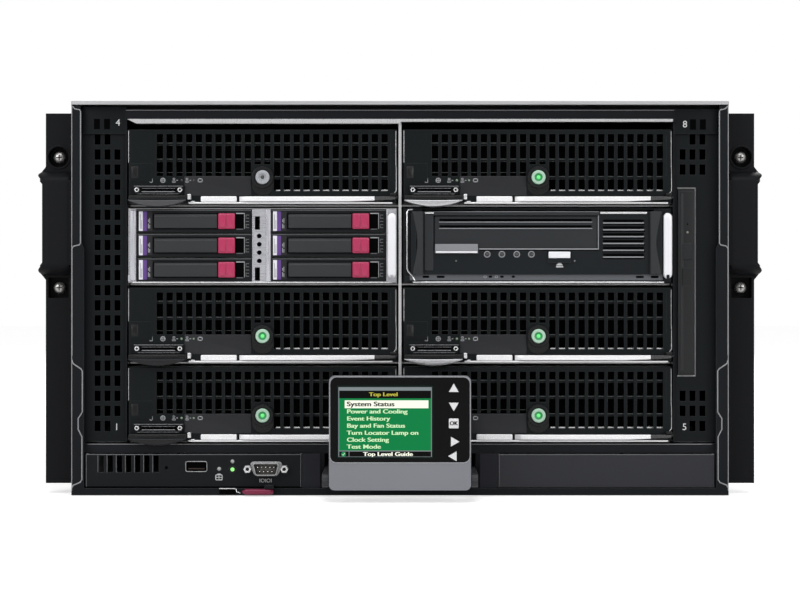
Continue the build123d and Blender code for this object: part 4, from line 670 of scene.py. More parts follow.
# Each block's spans across, in depth and upwards from the blade's corner, then its edge and corners.
BLADE_BLOCKS = {
    "pillar": ((83.8, 98.4), (BEZEL_Y - 0.5, BEZEL_Y + 0.3), (5.4, 25.0), 0.4, 7.0, 6),
    "key_plate": ((38.2, 83.2), (PLATE_Y, BEZEL_Y + 0.2), (5.4, 18.5), 0.2, 0.5),
    "label_plate": ((0.9, 16.4), (BEZEL_Y - 0.3, BEZEL_Y + 0.2), (14.9, 27.4), 0.25, 0.6),
    "port_inside": ((9.4, 32.4), (-26.4, -24.0), (8.3, 10.0), 0.2),
    "lower_contacts": ((9.6, 32.2), (-27.2, -26.0), (7.5, 8.2), 0.25),
    "upper_contacts": ((9.6, 32.2), (-26.8, -26.0), (10.0, 10.3), 0.1),
    "tab_block": ((0.9, 40.2), (-30.4, -24.0), (1.9, 5.3), 0.7, 0.8),
    "clip": ((40.6, 43.0), (-29.6, -24.0), (2.5, 6.3), 0.5, 0.6),
    "clip_foot": ((42.6, 45.4), (-27.2, -24.0), (0.6, 1.6), 0.3),
    "release_key": ((49.4, 73.6), (-27.3, -24.0), (1.0, 4.85), 0.6, 0.7),
    "sill": ((41.0, 178.6), (-26.8, -21.0), (-0.2, 0.9), 0.4),
    "pivot_cap": ((176.8, 181.3), (-29.3, -24.0), (5.0, 6.9), 0.5, 0.6),
    # A black sheet behind the grille that keeps the slots dark: painted shade.
    "slot_shade_sheet": ((18.6, 179.0), (-18.2, -17.4), (6.5, 48.2), 0.2),
    "inner_sill": ((99.6, 176.0), (-20.6, -19.9), (8.55, 9.5), 0.1),
}
# Thin grey strips on the top edges of the bars behind the grille slots: painted highlights.
BAR_HIGHLIGHTS = (
    ((19.0, 178.6), (30.0, 30.5)), ((19.0, 178.6), (40.9, 41.4)), ((99.0, 178.6), (18.2, 18.7)),
    ((19.0, 83.0), (21.0, 21.3)), ((19.0, 178.6), (47.1, 47.5)),
)
BAR_HIGHLIGHT_Y = (-21.2, -20.7)
# Thin light grey rods along the bezel's left and right edges: painted highlights.
LEFT_EDGE = [(0.45, 27.6), (0.45, 49.4)]
RIGHT_EDGE = [(180.9, 48.9), (180.9, 25.5), (181.15, 22.5), (181.15, 8.5), (179.6, 6.9)]


def bay_corner(bay):
    """The lower front left corner of a blade: bays 1 to 4 stand in the left column, 5 to 8 in the right."""
    column, row = divmod(bay - 1, 4)
    return (COLUMN_LEFTS[column], 0, BAY_FLOORS[row])


def blocks(sizes):
    """Rounded blocks by name, from their spans across, in depth and upwards, their edge and their corner."""
    return {name: rounded_box(*block) for name, block in sizes.items()}


def repeat(shape, moves):
    """Copies of one skin, each moved by its own step."""
    return gather(*[(shape[0] + np.asarray(move, dtype=float), shape[1]) for move in moves])


def along_x(x, y, z, power=0.45, sides=28):
    """A bar along X: superellipse sections, with a middle and a half size in Y and in Z at each x."""
    wide, high = superellipse(power, sides)
    x = np.asarray(x, dtype=float)[:, None]
    y_middle, y_half, z_middle, z_half = [np.asarray(value)[..., None] for value in (*y, *z)]
    return loft(x, y_middle + y_half * wide, z_middle + z_half * high)


def cam_lever():
    """A bar that swells from a slanted tip. Beyond the pivot its back follows a circle, to let it turn."""
    tip_x, end_x = LEVER_X
    x = np.concatenate([[tip_x, 75.5, 76.2], np.linspace(77.5, 178, 30), [180.4, 181.6, 182.15, end_x]])
    tip = np.clip((x - tip_x) / 6.0, 0, 1) ** 0.6
    end = np.sqrt(np.clip((end_x - x) / 2.3, 0.0, 1))
    near = -24.3 - (1.2 + 3.4 * tip) * np.maximum(end, 0.3)
    taper = 1 - 0.35 * np.clip((x - 150) / 30, 0, 1)
    height = np.maximum(end, 0.3) * 1.75 * taper
    beyond = np.maximum(x - LEVER_PIVOT[0], 0)
    back = LEVER_PIVOT[1] + np.sqrt(np.maximum(LEVER_REACH ** 2 - beyond ** 2, 0))
    near = np.minimum(near, back - 0.5)
    return along_x(x, ((near + back) / 2, (back - near) / 2), (LEVER_Z - height, height), 0.35)


def tab_lip():
    """The tab's underside: the lower edge follows a shallow parabola from end to end."""
    x = np.linspace(*LIP_X, 40)
    lean = (x - sum(LIP_X) / 2) / ((LIP_X[1] - LIP_X[0]) / 2)
    low = LIP_Z[0] + LIP_RISE * lean ** 2
    high = LIP_Z[1]
    return along_x(x, (-27.65, 3.65), ((low + high) / 2, (high - low) / 2 + 0.1), 0.4)


def strip(x, z, y, proud=0.06, edge=0.03, corner=None):
    """A thin flat patch of print or label on a face at y."""
    return rounded_box(x, (y - proud, y + 0.1), z, edge, corner, steps=2)


def frame_symbol(x, z, wide, high, line, y):
    """Four thin strips round an empty middle."""
    left, right, low, top = x - wide / 2, x + wide / 2, z - high / 2, z + high / 2
    spans = [((left, right), (top - line, top)), ((left, right), (low, low + line)),
             ((left, left + line), (low, top)), ((right - line, right), (low, top))]
    return gather(*[rounded_box(wide, (y - 0.06, y + 0.1), high, 0.03, steps=1) for wide, high in spans])


def port_symbol(x, y):
    """Two small frames, one over the other, with a dash beside them."""
    return gather(frame_symbol(x, SYMBOL_Z + 0.9, 1.8, 1.5, 0.5, y),
                  frame_symbol(x, SYMBOL_Z - 0.9, 2.6, 1.4, 0.5, y),
                  strip((x + 1.6, x + 2.8), (SYMBOL_Z - 0.25, SYMBOL_Z + 0.25), y))


def lit(name, colour, strength, base):
    """A lamp's clear plastic with its own glow."""
    material = painted(name, base, rough=0.2, shine=0.5, edge_wear_and_highlight=0.0, grain=0.0)
    set_inputs(material.node_tree.nodes["Principled BSDF"], Emission_Color=colour, Emission_Strength=strength)
    return material


block = blocks(BLADE_BLOCKS)
symbols = gather(
    frame_symbol(15.6, SYMBOL_Z, 2.2, 3.4, 0.55, BEZEL_Y),
    strip((14.9, 15.9), (SYMBOL_Z - 0.3, SYMBOL_Z + 0.3), BEZEL_Y),
    hollow_ring(PRINT_RING, 23.6, SYMBOL_Z, 20),
    strip((22.4, 24.8), (SYMBOL_Z - 0.25, SYMBOL_Z + 0.25), BEZEL_Y),
    strip((23.35, 23.85), (SYMBOL_Z - 1.3, SYMBOL_Z + 1.3), BEZEL_Y),
    port_symbol(31.0, BEZEL_Y),
    port_symbol(39.9, PLATE_Y),
    frame_symbol(48.8, SYMBOL_Z, 3.4, 2.7, 0.65, PLATE_Y),
)
lamps = gather(*[turned(LAMP_PROFILE, x, SYMBOL_Z, 16) for x in LAMP_PLACES])
port_rim = gather(strip((4.4, 37.4), (11.4, 11.8), PORT_FRONT, 0.3, 0.12),
                  strip((6.6, 35.0), (6.2, 6.5), PORT_FRONT, 0.3, 0.1))
jacks = gather(*[hollow_ring(JACK_PROFILE, x, JACK_Z, 6) for x in JACK_PLACES])
tab_ridges = repeat(rounded_box(*TAB_RIDGE), [(0, 0, step * TAB_RIDGE_PITCH) for step in range(3)])
key_ribs = [rounded_box((x, x + 0.5), (-27.45, -27.0), (1.6, 4.3), 0.12, steps=2) for x in KEY_RIB_PLACES]
bar_lights = gather(*[rounded_box(x, BAR_HIGHLIGHT_Y, z, 0.1) for x, z in BAR_HIGHLIGHTS])
rib_moves = [(step * SCREEN_RIB_PITCH, 0, 0) for step in range(SCREEN_RIB_COUNT)]
slot_ribs = repeat(rounded_box(*SCREEN_RIB), rib_moves)
edges = gather(bead(LEFT_EDGE, 0.32, BEZEL_Y - 0.1), bead(RIGHT_EDGE, 0.3, BEZEL_Y - 0.1))
button_cap = turned(CAP_PROFILE, *BUTTON_PLACE, 48)
button_edge = hollow_ring(CAP_EDGE_PROFILE, *BUTTON_PLACE, 40)
button_lamp = turned(CAP_LAMP_PROFILE, *BUTTON_PLACE, 28)

SILVER = {
    "colour": (0.78, 0.775, 0.79), "rough": 0.26, "shine": 0.6, "edge_wear_and_highlight": 0.0, "metal": 0.25, "blotch": 0.05,
}
BARE_STEEL = (0.5, 0.5, 0.51)
case_paint = painted("case_finish", (0.0056, 0.0074, 0.0082), rough=0.36, edge_wear_and_highlight=0.1)
case_finish = banded(case_paint, BACKWARD, CASE_FROM, 0.5, BARE_STEEL)
bezel_black = painted("bezel_black", (0.0052, 0.007, 0.0078), rough=0.36, shine=0.1, edge_wear_and_highlight=0.1)
plate_grey = painted("plate_grey", (0.0125, 0.013, 0.0155), rough=0.3, shine=0.3, edge_wear_and_highlight=0.1, blotch=0.25)
# Grey for the bar tops' painted highlights.
bar_highlight_grey = painted("bar_highlight_grey", (0.09, 0.1, 0.1), rough=0.4, edge_wear_and_highlight=0.0, blotch=0.3)
pillar_black = painted("pillar_black", (0.0048, 0.005, 0.0058), rough=0.28, shine=0.26, edge_wear_and_highlight=0.05)
lever_silver = painted("lever_silver", **SILVER)
# Past the pivot each lever is painted dark grey: painted shade where its end curves back.
lever_left = banded(painted("lever_left", **SILVER), ACROSS, -0.0172, 0.5, LEVER_END_SHADE)
lever_right = banded(painted("lever_right", **SILVER), ACROSS, 0.1687, 0.5, LEVER_END_SHADE)
edge_highlight_steel = plated("edge_highlight_steel", (0.36, 0.36, 0.37), 0.25, (20, 60, 20))
bright_metal = plated("bright_metal", (0.72, 0.72, 0.73), 0.2, (20, 60, 20))
port_silver = plated("port_silver", (0.2, 0.2, 0.21), 0.3, (30, 30, 30))
tab_lip_highlight = plated("tab_lip_highlight", (0.5, 0.5, 0.52), 0.3, (6, 90, 90))
tab_black = painted("tab_black", (0.01, 0.01, 0.0115), rough=0.32, shine=0.25, edge_wear_and_highlight=0.1)
tab_lip_half_light = painted("tab_lip_half_light", (0.05, 0.05, 0.055), rough=0.32, shine=0.4, edge_wear_and_highlight=0.1, blotch=0.3)
# Grey ink for printed symbols and marks; on the sleds it also paints two highlight strips.
print_and_highlight_ink = painted("symbol_and_highlight_ink", (0.3, 0.31, 0.32), rough=0.6, edge_wear_and_highlight=0.0)
lamp_green = lit("lamp_green", (0.35, 0.95, 0.25), 0.8, (0.1, 0.4, 0.1))
lamp_faint = lit("lamp_faint", (0.3, 0.6, 0.25), 0.08, (0.13, 0.17, 0.13))
lamp_unlit = painted("lamp_unlit", (0.03, 0.03, 0.032), rough=0.2, shine=0.5, edge_wear_and_highlight=0.0)
button_glow = lit("button_glow", (0.13, 0.8, 0.2), 0.8, (0.05, 0.3, 0.08))
cap_lit = lit("cap_lit", (0.04, 0.4, 0.1), 0.2, (0.03, 0.17, 0.07))
cap_edge = painted("cap_edge", (0.34, 0.5, 0.39), rough=0.25, shine=0.5, edge_wear_and_highlight=0.0)
cap_unlit = painted("cap_unlit", (0.3, 0.31, 0.33), rough=0.3, shine=0.4, edge_wear_and_highlight=0.1)
# Lit and shaded copies of one tab lip: bright in bays 6 and 8 and grey in bay 4 as painted highlights, black
# in the others.
TAB_LIP_LIGHT = {8: tab_lip_highlight, 6: tab_lip_highlight, 4: tab_lip_half_light}

for bay in SERVER_BAYS:
    corner = bay_corner(bay)
    group, blade = f"blade_{bay}", f"server_blade_{bay}"
    lever_node, button_node = f"blade_lever_{bay}", f"power_button_{bay}"
    unlit = bay == UNLIT_BAY
    dress(blade, case_finish)
    place_pieces(group, {
        "symbols": (symbols, print_and_highlight_ink),
        "lamps": (lamps, lamp_unlit if unlit else lamp_faint),
        "pillar": (gather(block["pillar"], hollow_ring(BOSS_PROFILE, *BUTTON_PLACE, 48)), pillar_black),
        "key_plate": (block["key_plate"], plate_grey),
        "bar_lights": (bar_lights, bar_highlight_grey),
        "label_plate": (block["label_plate"], bezel_black),
        "port_inside": (block["port_inside"], hole_shade_black),
        "port_contacts": (gather(block["lower_contacts"], block["upper_contacts"], port_rim), port_silver),
        "port_jacks": (jacks, bright_metal),
        "port_metal": (gather(block["clip"], block["clip_foot"]), bright_metal),
        "tab": (gather(block["tab_block"], tab_ridges), pillar_black),
        "tab_lip": (tab_lip(), TAB_LIP_LIGHT.get(bay, tab_black)),
        "release_key": (gather(block["release_key"], *key_ribs), lever_silver),
        "sill": (block["sill"], lever_silver),
        "edges": (edges, edge_highlight_steel),
        "lever_mount": (block["pivot_cap"], pillar_black),
        "slot_shade_sheet": (block["slot_shade_sheet"], hole_shade_black),
        "inner_sill": (block["inner_sill"], bright_metal),
        "slot_ribs": (slot_ribs, bezel_black),
        "blank_label": (strip((2.3, 6.9), (17.2, 25.2), BEZEL_Y - 0.3, corner=0.4), pillar_black),
    }, blade, corner)
    lever_finish = lever_left if corner[0] < 0 else lever_right
    lever = place_piece(f"{group}_cam_lever", cam_lever(), lever_finish, lever_node, corner)
    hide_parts(lever_node)
    cap_finish = cap_unlit if unlit else cap_lit
    cap = place_piece(f"{group}_button_cap", button_cap, cap_finish, button_node, corner)
    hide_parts(button_node)
    place_pieces(group, {
        "button_edge": (button_edge, cap_unlit if unlit else cap_edge),
        "button_lamp": (button_lamp, lamp_unlit if unlit else button_glow),
    }, button_node, corner)

# Storage blade
# A plated case whose front shows six disc sleds in two banks, parted by a bright pierced
# strip. The strip's holes are black discs of painted shade, and the brighter band on its
# folded edge is a painted highlight. Each sled has a grey grip plate, a springy burgundy
# latch and a band of labels.
STORAGE_CORNER = bay_corner(3)
STORAGE_Y = -24.0
BURGUNDY = (0.36, 0.022, 0.08)
SLED_LEFTS = (6.15, 96.75)
SLED_MIDDLES = (8.8, 25.2, 41.6)
LABEL_BANDS = (("pale", 1.2, 3.9), ("violet", 3.9, 6.6), ("dark", 6.6, 10.4))
LABEL_Z = (-6.6, 6.6)
STRIP_X = 88.7
STRIP_HOLES = (31.6, 26.0, 20.4, 14.8)
HOLE_PROFILE = [(0, STORAGE_Y - 0.06), (1.55, STORAGE_Y - 0.06), (1.55, STORAGE_Y + 0.1)]
EYELET_PROFILE = [(2.0, STORAGE_Y), (1.9, STORAGE_Y - 0.25), (1.65, STORAGE_Y - 0.25), (1.55, STORAGE_Y)]
HANDLE_X = 178.2
HANDLE_Z = (2.9, 47.0)
HANDLE_Y = -26.5
HANDLE_WIDTH = 6.0
HANDLE_HALF_DEPTH = 2.35
SLED_BLOCKS = {
    "grip_plate": ((11.7, 54.2), (-26.0, -22.2), (-4.7, 4.7), 0.5, 0.6),
    "latch": ((54.8, 66.2), (-26.3, -22.2), (-5.3, 5.3), 0.8, 0.9),
    "latch_key": ((55.6, 60.0), (-27.0, -26.0), (-4.2, 4.6), 0.5, 0.8),
    "latch_step": ((60.8, 65.2), (-26.7, -26.0), (-4.2, 4.6), 0.35, 0.8),
    "shade": ((66.4, 72.3), (-24.15, -22.5), (-4.6, 4.6), 0.1, 0.3),
}
SLED_MARKS = [((73.3, 75.6), (z, z + 0.5)) for z in (-4.6, -2.6, -0.4, 1.8, 3.9)]
SLED_MARKS += [((73.3, 73.8), (z, z + 1.6)) for z in (-4.6, 2.8)]
SLED_LINES = [
    (7.4, -4.8, 3.2), (7.4, -0.6, 1.8), (8.3, -4.8, 2.4), (8.3, -1.4, 3.4), (2.0, -5.2, 9.8),
    (2.9, -5.2, 6.0),
]
STORAGE_BLOCKS = {
    # A brighter band on the strip's folded edge: painted highlight.
    "strip_fold_highlight": ((93.2, 96.3), (-25.2, -23.9), (0.8, 49.6), 0.6, 0.7),
    "strip_line": ((84.0, 84.6), (-24.5, -23.9), (0.8, 49.6), 0.2),
    "left_rail": ((1.4, 5.5), (-25.6, -23.9), (1.4, 49.0), 0.8, 1.0),
    "left_foot": ((0.0, 2.4), (-24.6, -22.8), (1.0, 5.2), 0.3),
    "right_rail": ((174.6, 175.5), (-24.6, -23.0), (0.8, 48.8), 0.3),
    "sill": ((3.0, 178.0), (-25.0, -22.0), (-0.2, 0.7), 0.3),
}


def upright_handle():
    """A column with superellipse sections, drawn in at the top and round its hinge at the foot."""
    foot, top = HANDLE_Z
    z = np.concatenate([[foot, 3.0, 3.4], np.linspace(4.2, 45.0, 24), [46.2, 46.8, top]])[:, None]
    draw = np.sqrt(np.clip(np.minimum(z - foot + 0.3, top + 0.3 - z) / 2.4, 0.05, 1))
    wide, deep = superellipse(0.55, 28)
    return loft(HANDLE_X + HANDLE_WIDTH / 2 * draw * wide, HANDLE_Y + HANDLE_HALF_DEPTH * draw * deep, z)


block = blocks(SLED_BLOCKS)
grip_plate = gather(block["grip_plate"], strip((12.2, 53.8), (3.2, 3.6), -26.0, 0.12, 0.05))
latch = gather(block["latch"], block["latch_key"], block["latch_step"])
sled_marks = gather(*[strip(x, z, STORAGE_Y) for x, z in SLED_MARKS])
# The line along the sled's top and the one under the dark recess are painted highlights.
sled_edges = gather(strip((0.4, 77.1), (7.1, 7.5), STORAGE_Y, 0.15, 0.08),
                    strip((67.0, 71.6), (-5.7, -5.1), STORAGE_Y, 0.5, 0.2))
# The two strips on the dark recess's top and right side are painted highlights; the short lines are print on
# the labels.
sled_highlights_and_print = gather(strip((66.8, 72.2), (4.9, 5.6), STORAGE_Y, 0.5, 0.2),
                     strip((72.3, 72.7), (-5.2, 5.6), STORAGE_Y, 0.15, 0.08),
                     *[strip((x, x + 0.5), (z, z + length), STORAGE_Y - 0.12) for x, z, length in SLED_LINES])
sled_black = painted("sled_black", (0.008, 0.0088, 0.0098), rough=0.42, edge_wear_and_highlight=0.1)
grip_grey = painted("grip_grey", (0.03, 0.032, 0.034), rough=0.5, grain=0.12, edge_wear_and_highlight=0.2)
burgundy = painted("burgundy", BURGUNDY, rough=0.22, shine=0.5, edge_wear_and_highlight=0.12, blotch=0.08)
# Grey for painted highlights along edges, and for small marks on the sleds.
highlight_and_mark_grey = painted("highlight_and_mark_grey", (0.1, 0.105, 0.11), rough=0.35, edge_wear_and_highlight=0.2)
labels = {
    "pale": painted("label_pale", (0.62, 0.6, 0.66), rough=0.5, edge_wear_and_highlight=0.0, blotch=0.05),
    "violet": painted("label_violet", (0.1, 0.05, 0.2), rough=0.5, edge_wear_and_highlight=0.0),
    "dark": painted("label_dark", (0.02, 0.02, 0.022), rough=0.5, edge_wear_and_highlight=0.0),
}
strip_plating = plated("strip_plating", (0.5, 0.5, 0.54), 0.28, (90, 90, 4))
moulded_silver = painted("moulded_silver", (0.72, 0.72, 0.75), rough=0.25, shine=0.5, edge_wear_and_highlight=0.0, metal=0.1,
                         blotch=0.06)
storage_plating = plated("storage_plating", (0.45, 0.45, 0.48))
dress("storage_blade", banded(storage_plating, BACKWARD, -0.0239, 0.6, (0.4, 0.4, 0.41)))

for column, left in enumerate(SLED_LEFTS):
    for row, middle in enumerate(SLED_MIDDLES):
        number = 1 + column * len(SLED_MIDDLES) + row
        corner = np.array(STORAGE_CORNER) + (left, 0, middle)
        dress(f"drive_sled_{number}", sled_black)
        place_pieces(f"sled_{number}", {
            "grip": (grip_plate, grip_grey),
            "latch": (latch, burgundy),
            "shade": (block["shade"], hole_shade_black),
            "marks": (sled_marks, highlight_and_mark_grey),
            "edges": (sled_edges, highlight_and_mark_grey),
            "lights": (sled_highlights_and_print, print_and_highlight_ink),
            **{f"label_{name}": (strip((start, end), LABEL_Z, STORAGE_Y, 0.12), labels[name])
               for name, start, end in LABEL_BANDS},
        }, f"drive_sled_{number}", corner)

block = blocks(STORAGE_BLOCKS)
eyelets = [hollow_ring(EYELET_PROFILE, STRIP_X, z, 20) for z in STRIP_HOLES]
holes = [turned(HOLE_PROFILE, STRIP_X, z, 20) for z in STRIP_HOLES]
place_pieces("storage", {
    "strip_fold_highlight": (gather(block["strip_fold_highlight"], block["strip_line"], *eyelets), strip_plating),
    "strip_holes": (gather(*holes), hole_shade_black),
    "side_rails": (gather(block["left_rail"], block["left_foot"], block["right_rail"]), strip_plating),
    "sill": (block["sill"], bright_metal),
}, "storage_blade", STORAGE_CORNER)
handle = place_piece(
    "storage_pull_handle", upright_handle(), moulded_silver, "storage_handle", STORAGE_CORNER
)
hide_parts("storage_handle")

# Tape blade
# A cartridge drive behind a charcoal moulded face. A hinged door fills the upper part, with
# a grey opening key at its corner; below it stand four lamps and the eject button.
TAPE_CORNER = bay_corner(7)
TAPE_Y = -26.0
TAPE_LAMPS = (56.6, 66.5, 76.5, 86.4)
TAPE_LAMP_Z = 19.2
LAMP_RING_PROFILE = [(2.3, TAPE_Y), (2.2, -26.5), (1.9, -26.65), (1.6, -26.5), (1.5, TAPE_Y)]
LAMP_DOME_PROFILE = [(0, -26.5), (0.8, -26.4), (1.3, -26.15), (1.5, -25.9)]
DOT_PLACES = (35.6, 115.6)
DOT_PROFILE = [(0, TAPE_Y - 0.06), (0.45, TAPE_Y - 0.06), (0.45, TAPE_Y + 0.1)]
ARROW_X = (103.0, 107.8)
ARROW_Z = (11.7, 14.3)
DOOR_SLOTS = (37.0, 41.3)
VENT_HEIGHTS = (17.4, 22.0, 26.6, 31.2, 35.8, 40.4)
SCOOP_Z = (5.8, 48.0)
SCOOP_HOLLOW = 3.6
LEFT_SCOOP = (5.6, 13.6)
RIGHT_SCOOP = (174.4, 166.2)
STRIP_FACE = -24.8
STRIP_OVALS = (
    (13.0, 4.6, 3.3), (22.6, 5.4, 3.3), (57.6, 2.4, 3.4), (65.4, 2.4, 3.4), (73.2, 2.2, 3.4),
    (157.0, 5.4, 3.2), (167.0, 5.4, 3.2),
)
STRIP_SYMBOLS = (55.2, 62.8)
BRACKET_PATH = [(6.6, 49.6), (3.6, 49.2), (2.6, 48.0), (2.6, 9.5), (3.4, 7.6), (6.2, 4.6), (7.6, 1.6)]
TAPE_BLOCKS = {
    "door_panel": ((21.0, 131.2), (-25.0, -22.8), (22.0, 45.0), 0.4, 0.8),
    "door_brow": ((20.0, 132.0), (-26.7, -25.6), (45.4, 48.0), 0.5, 0.6),
    "door_foot_lip": ((51.0, 131.8), (-26.5, -25.8), (22.3, 23.2), 0.35),
    "door_side_lip": ((131.2, 131.9), (-26.4, -25.8), (23.0, 45.6), 0.3),
    "door_top_lip": ((20.0, 131.8), (-26.6, -26.0), (47.6, 48.1), 0.25),
    "opening_key": ((21.4, 50.4), (-27.4, -25.6), (19.9, 26.2), 0.5, 0.6),
    "key_lip": ((21.8, 50.0), (-27.9, -27.0), (20.0, 21.2), 0.35),
    "eject_button": ((97.9, 112.6), (-28.0, -25.0), (16.6, 21.0), 0.5, 0.5),
    "eject_well": ((97.3, 113.2), (-26.1, -25.0), (16.0, 21.6), 0.05, 0.3),
    "vent_brow": ((132.6, 164.4), (-27.2, -25.6), (46.4, 47.8), 0.45),
    "left_post": ((14.2, 20.4), (-26.6, -25.6), (8.2, 45.6), 0.4, 0.6),
    "left_post_cap": ((14.6, 20.6), (-26.9, -25.6), (46.4, 47.8), 0.35),
    "lower_strip": ((4.4, 175.2), (STRIP_FACE, -21.0), (1.6, 6.4), 0.4, 0.6),
    "sill": ((6.5, 176.0), (-25.6, -22.0), (-0.2, 0.9), 0.4),
}


def side_scoop(outer, inner):
    """An upright moulding whose outer side draws in along half a sine wave between its ends."""
    z = np.linspace(*SCOOP_Z, 40)[:, None]
    inward = SCOOP_HOLLOW * np.sin((z - SCOOP_Z[0]) / (SCOOP_Z[1] - SCOOP_Z[0]) * np.pi) ** 1.5
    outer = outer + math.copysign(1.0, inner - outer) * inward
    wide, deep = superellipse(0.4, 24)
    return loft((outer + inner) / 2 + np.abs(outer - inner) / 2 * wide, TAPE_Y + 3.2 * deep, z)


block = blocks(TAPE_BLOCKS)
door_slots = [rounded_box((24.4, 127.2), (-25.06, -24.4), (z, z + 1.9), 0.03, 0.3) for z in DOOR_SLOTS]
# Light grey lips under the door slots and round the door: painted highlights.
slot_lips = [rounded_box((24.0, 127.6), (-25.5, -24.6), (z - 0.65, z), 0.3) for z in DOOR_SLOTS]
edge_lips = [block["door_foot_lip"], block["door_side_lip"], block["door_top_lip"]]
lamp_rings = [hollow_ring(LAMP_RING_PROFILE, x, TAPE_LAMP_Z, 28) for x in TAPE_LAMPS]
lamp_domes = [turned(LAMP_DOME_PROFILE, x, TAPE_LAMP_Z, 20) for x in TAPE_LAMPS]
eject_bar = strip(ARROW_X, (10.4, 11.2), TAPE_Y)
arrow_x = [*ARROW_X, sum(ARROW_X) / 2]
arrow_z = [ARROW_Z[0], *ARROW_Z]
eject_arrow = loft(arrow_x, [[TAPE_Y - 0.06], [TAPE_Y + 0.1]], arrow_z)
face_dots = [turned(DOT_PROFILE, x, 14.8, 12) for x in DOT_PLACES]
# Light grey lips on top of the louvres: painted highlights.
vent_lip_highlights = [rounded_box((134.6, 162.4), (-26.7, -25.6), (z - 0.55, z + 0.35), 0.3) for z in VENT_HEIGHTS]
vent_slots = [rounded_box((134.8, 162.2), (-26.08, -25.6), (z + 0.5, z + 2.3), 0.02, 0.3)
              for z in VENT_HEIGHTS]
strip_ovals = [rounded_box((x, x + wide), (STRIP_FACE - 0.06, -24.2), (z, z + 1.5), 0.03, 0.7, steps=3)
               for x, wide, z in STRIP_OVALS]
strip_marks = [frame_symbol(x, 4.1, 2.0, 2.0, 0.5, STRIP_FACE) for x in STRIP_SYMBOLS]
# Light grey for the lamp rings; on the lips it is painted highlight.
lip_highlight_and_ring_grey = painted("lip_highlight_and_ring_grey", (0.22, 0.225, 0.24), rough=0.3, shine=0.5, edge_wear_and_highlight=0.1)
key_grey = painted("key_grey", (0.2, 0.205, 0.215), rough=0.4, edge_wear_and_highlight=0.2)
strip_grey = painted("strip_grey", (0.07, 0.075, 0.085), rough=0.3, shine=0.5, edge_wear_and_highlight=0.2)
tape_charcoal = painted("tape_charcoal", (0.0125, 0.015, 0.0175), rough=0.38, shine=0.3, edge_wear_and_highlight=0.14)
tape_paint = painted("tape_finish", (0.0095, 0.0115, 0.0132), rough=0.4, edge_wear_and_highlight=0.14)
dress("tape_blade", banded(tape_paint, BACKWARD, -0.0172, 0.5, BARE_STEEL))
place_pieces("tape", {
    "door": (gather(block["door_panel"], block["door_brow"]), tape_charcoal),
    "door_slots": (gather(*door_slots), hole_shade_black),
    "door_lip_highlights": (gather(*slot_lips, *edge_lips), lip_highlight_and_ring_grey),
    "key_lip": (block["key_lip"], moulded_silver),
    "opening_key": (block["opening_key"], key_grey),
    "lamp_rings": (gather(*lamp_rings), lip_highlight_and_ring_grey),
    "lamps": (gather(*lamp_domes), lamp_unlit),
    "eject_button": (block["eject_button"], moulded_silver),
    "eject_well": (block["eject_well"], hole_shade_black),
    "eject_symbol": (gather(eject_bar, eject_arrow), white_ink),
    "face_dots": (gather(*face_dots), print_and_highlight_ink),
    "vent_lip_highlights": (gather(*vent_lip_highlights), lip_highlight_and_ring_grey),
    "vent_slots": (gather(*vent_slots), hole_shade_black),
    "vent_brow": (gather(block["vent_brow"], block["left_post_cap"]), bright_metal),
    "left_post": (block["left_post"], tape_charcoal),
    "lower_strip": (block["lower_strip"], strip_grey),
    "strip_ovals": (gather(*strip_ovals), hole_shade_black),
    "strip_marks": (gather(*strip_marks), print_and_highlight_ink),
    "bracket": (bead(BRACKET_PATH, 0.5, -24.6), bright_metal),
    "left_scoop": (side_scoop(*LEFT_SCOOP), grip_grey),
    "right_scoop": (side_scoop(*RIGHT_SCOOP), grip_grey),
    "sill": (block["sill"], bright_metal),
}, "tape_blade", TAPE_CORNER)
handle = place_piece(
    "tape_pull_handle", upright_handle(), moulded_silver, "tape_handle", TAPE_CORNER
)
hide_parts("tape_handle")

# Management module
# A drawer behind a satin black steel face. Light grey lines along its top and side edges
# and beside its vent slots are painted highlights. It carries a reset hole, a silver square
# port, three small lamps, and a flared serial port between two hexagonal posts. A burgundy
# latch lever turns under the face.
MODULE_Y = -28.0
MODULE_X = (-211.4, -66.6)
LINE_Y = (MODULE_Y - 0.3, MODULE_Y + 0.2)
VENT_EDGES = [-203.6 + 6.15 * step for step in range(7)]
RESET_PLACE = (-157.3, 18.4)
RESET_PROFILE = [(0, MODULE_Y - 0.06), (1.1, MODULE_Y - 0.06), (1.1, MODULE_Y)]
USB_X = (-144.5, -129.7)
USB_Z = (15.5, 22.9)
USB_WALL = 0.55
MODULE_LAMPS = ((-121.8, 17.6), (-112.8, 22.6), (-112.8, 17.2))
MODULE_LAMP_PROFILE = [(0, MODULE_Y - 0.9), (0.7, MODULE_Y - 0.8), (1.2, MODULE_Y - 0.4), (1.35, MODULE_Y)]
COLLAR_PROFILE = [(2.6, MODULE_Y), (2.5, MODULE_Y - 0.25), (1.6, MODULE_Y - 0.25), (1.4, MODULE_Y)]
SERIAL_X = (-98.3, -81.9)
SERIAL_Z = (13.2, 22.0)
SERIAL_FRONT = -33.4
SERIAL_FLARE = 0.035
SERIAL_MIDDLE = (sum(SERIAL_X) / 2, sum(SERIAL_Z) / 2)
SERIAL_MARK = (SERIAL_MIDDLE[0] - 0.4, MODULE_Y, 9.6, 3.6)
PIN_PITCH = 2.75
PIN_ROWS = ((5, 1.4), (4, -1.5))
PIN_PROFILE = [(0, -32.6), (0.35, -32.4), (0.5, -32.0), (0.5, -29.0)]
WELL_PROFILE = [(0, -29.86), (0.85, -29.86), (0.85, -29.0)]
POST_PLACES = (-102.5, -77.7)
POST_PROFILE = [
    (1.2, -31.0), (1.2, -32.5), (1.6, -32.9), (2.5, -32.8), (2.95, -32.2), (2.95, MODULE_Y), (1.2, MODULE_Y),
]
LATCH_X = (-105.6, -84.85)
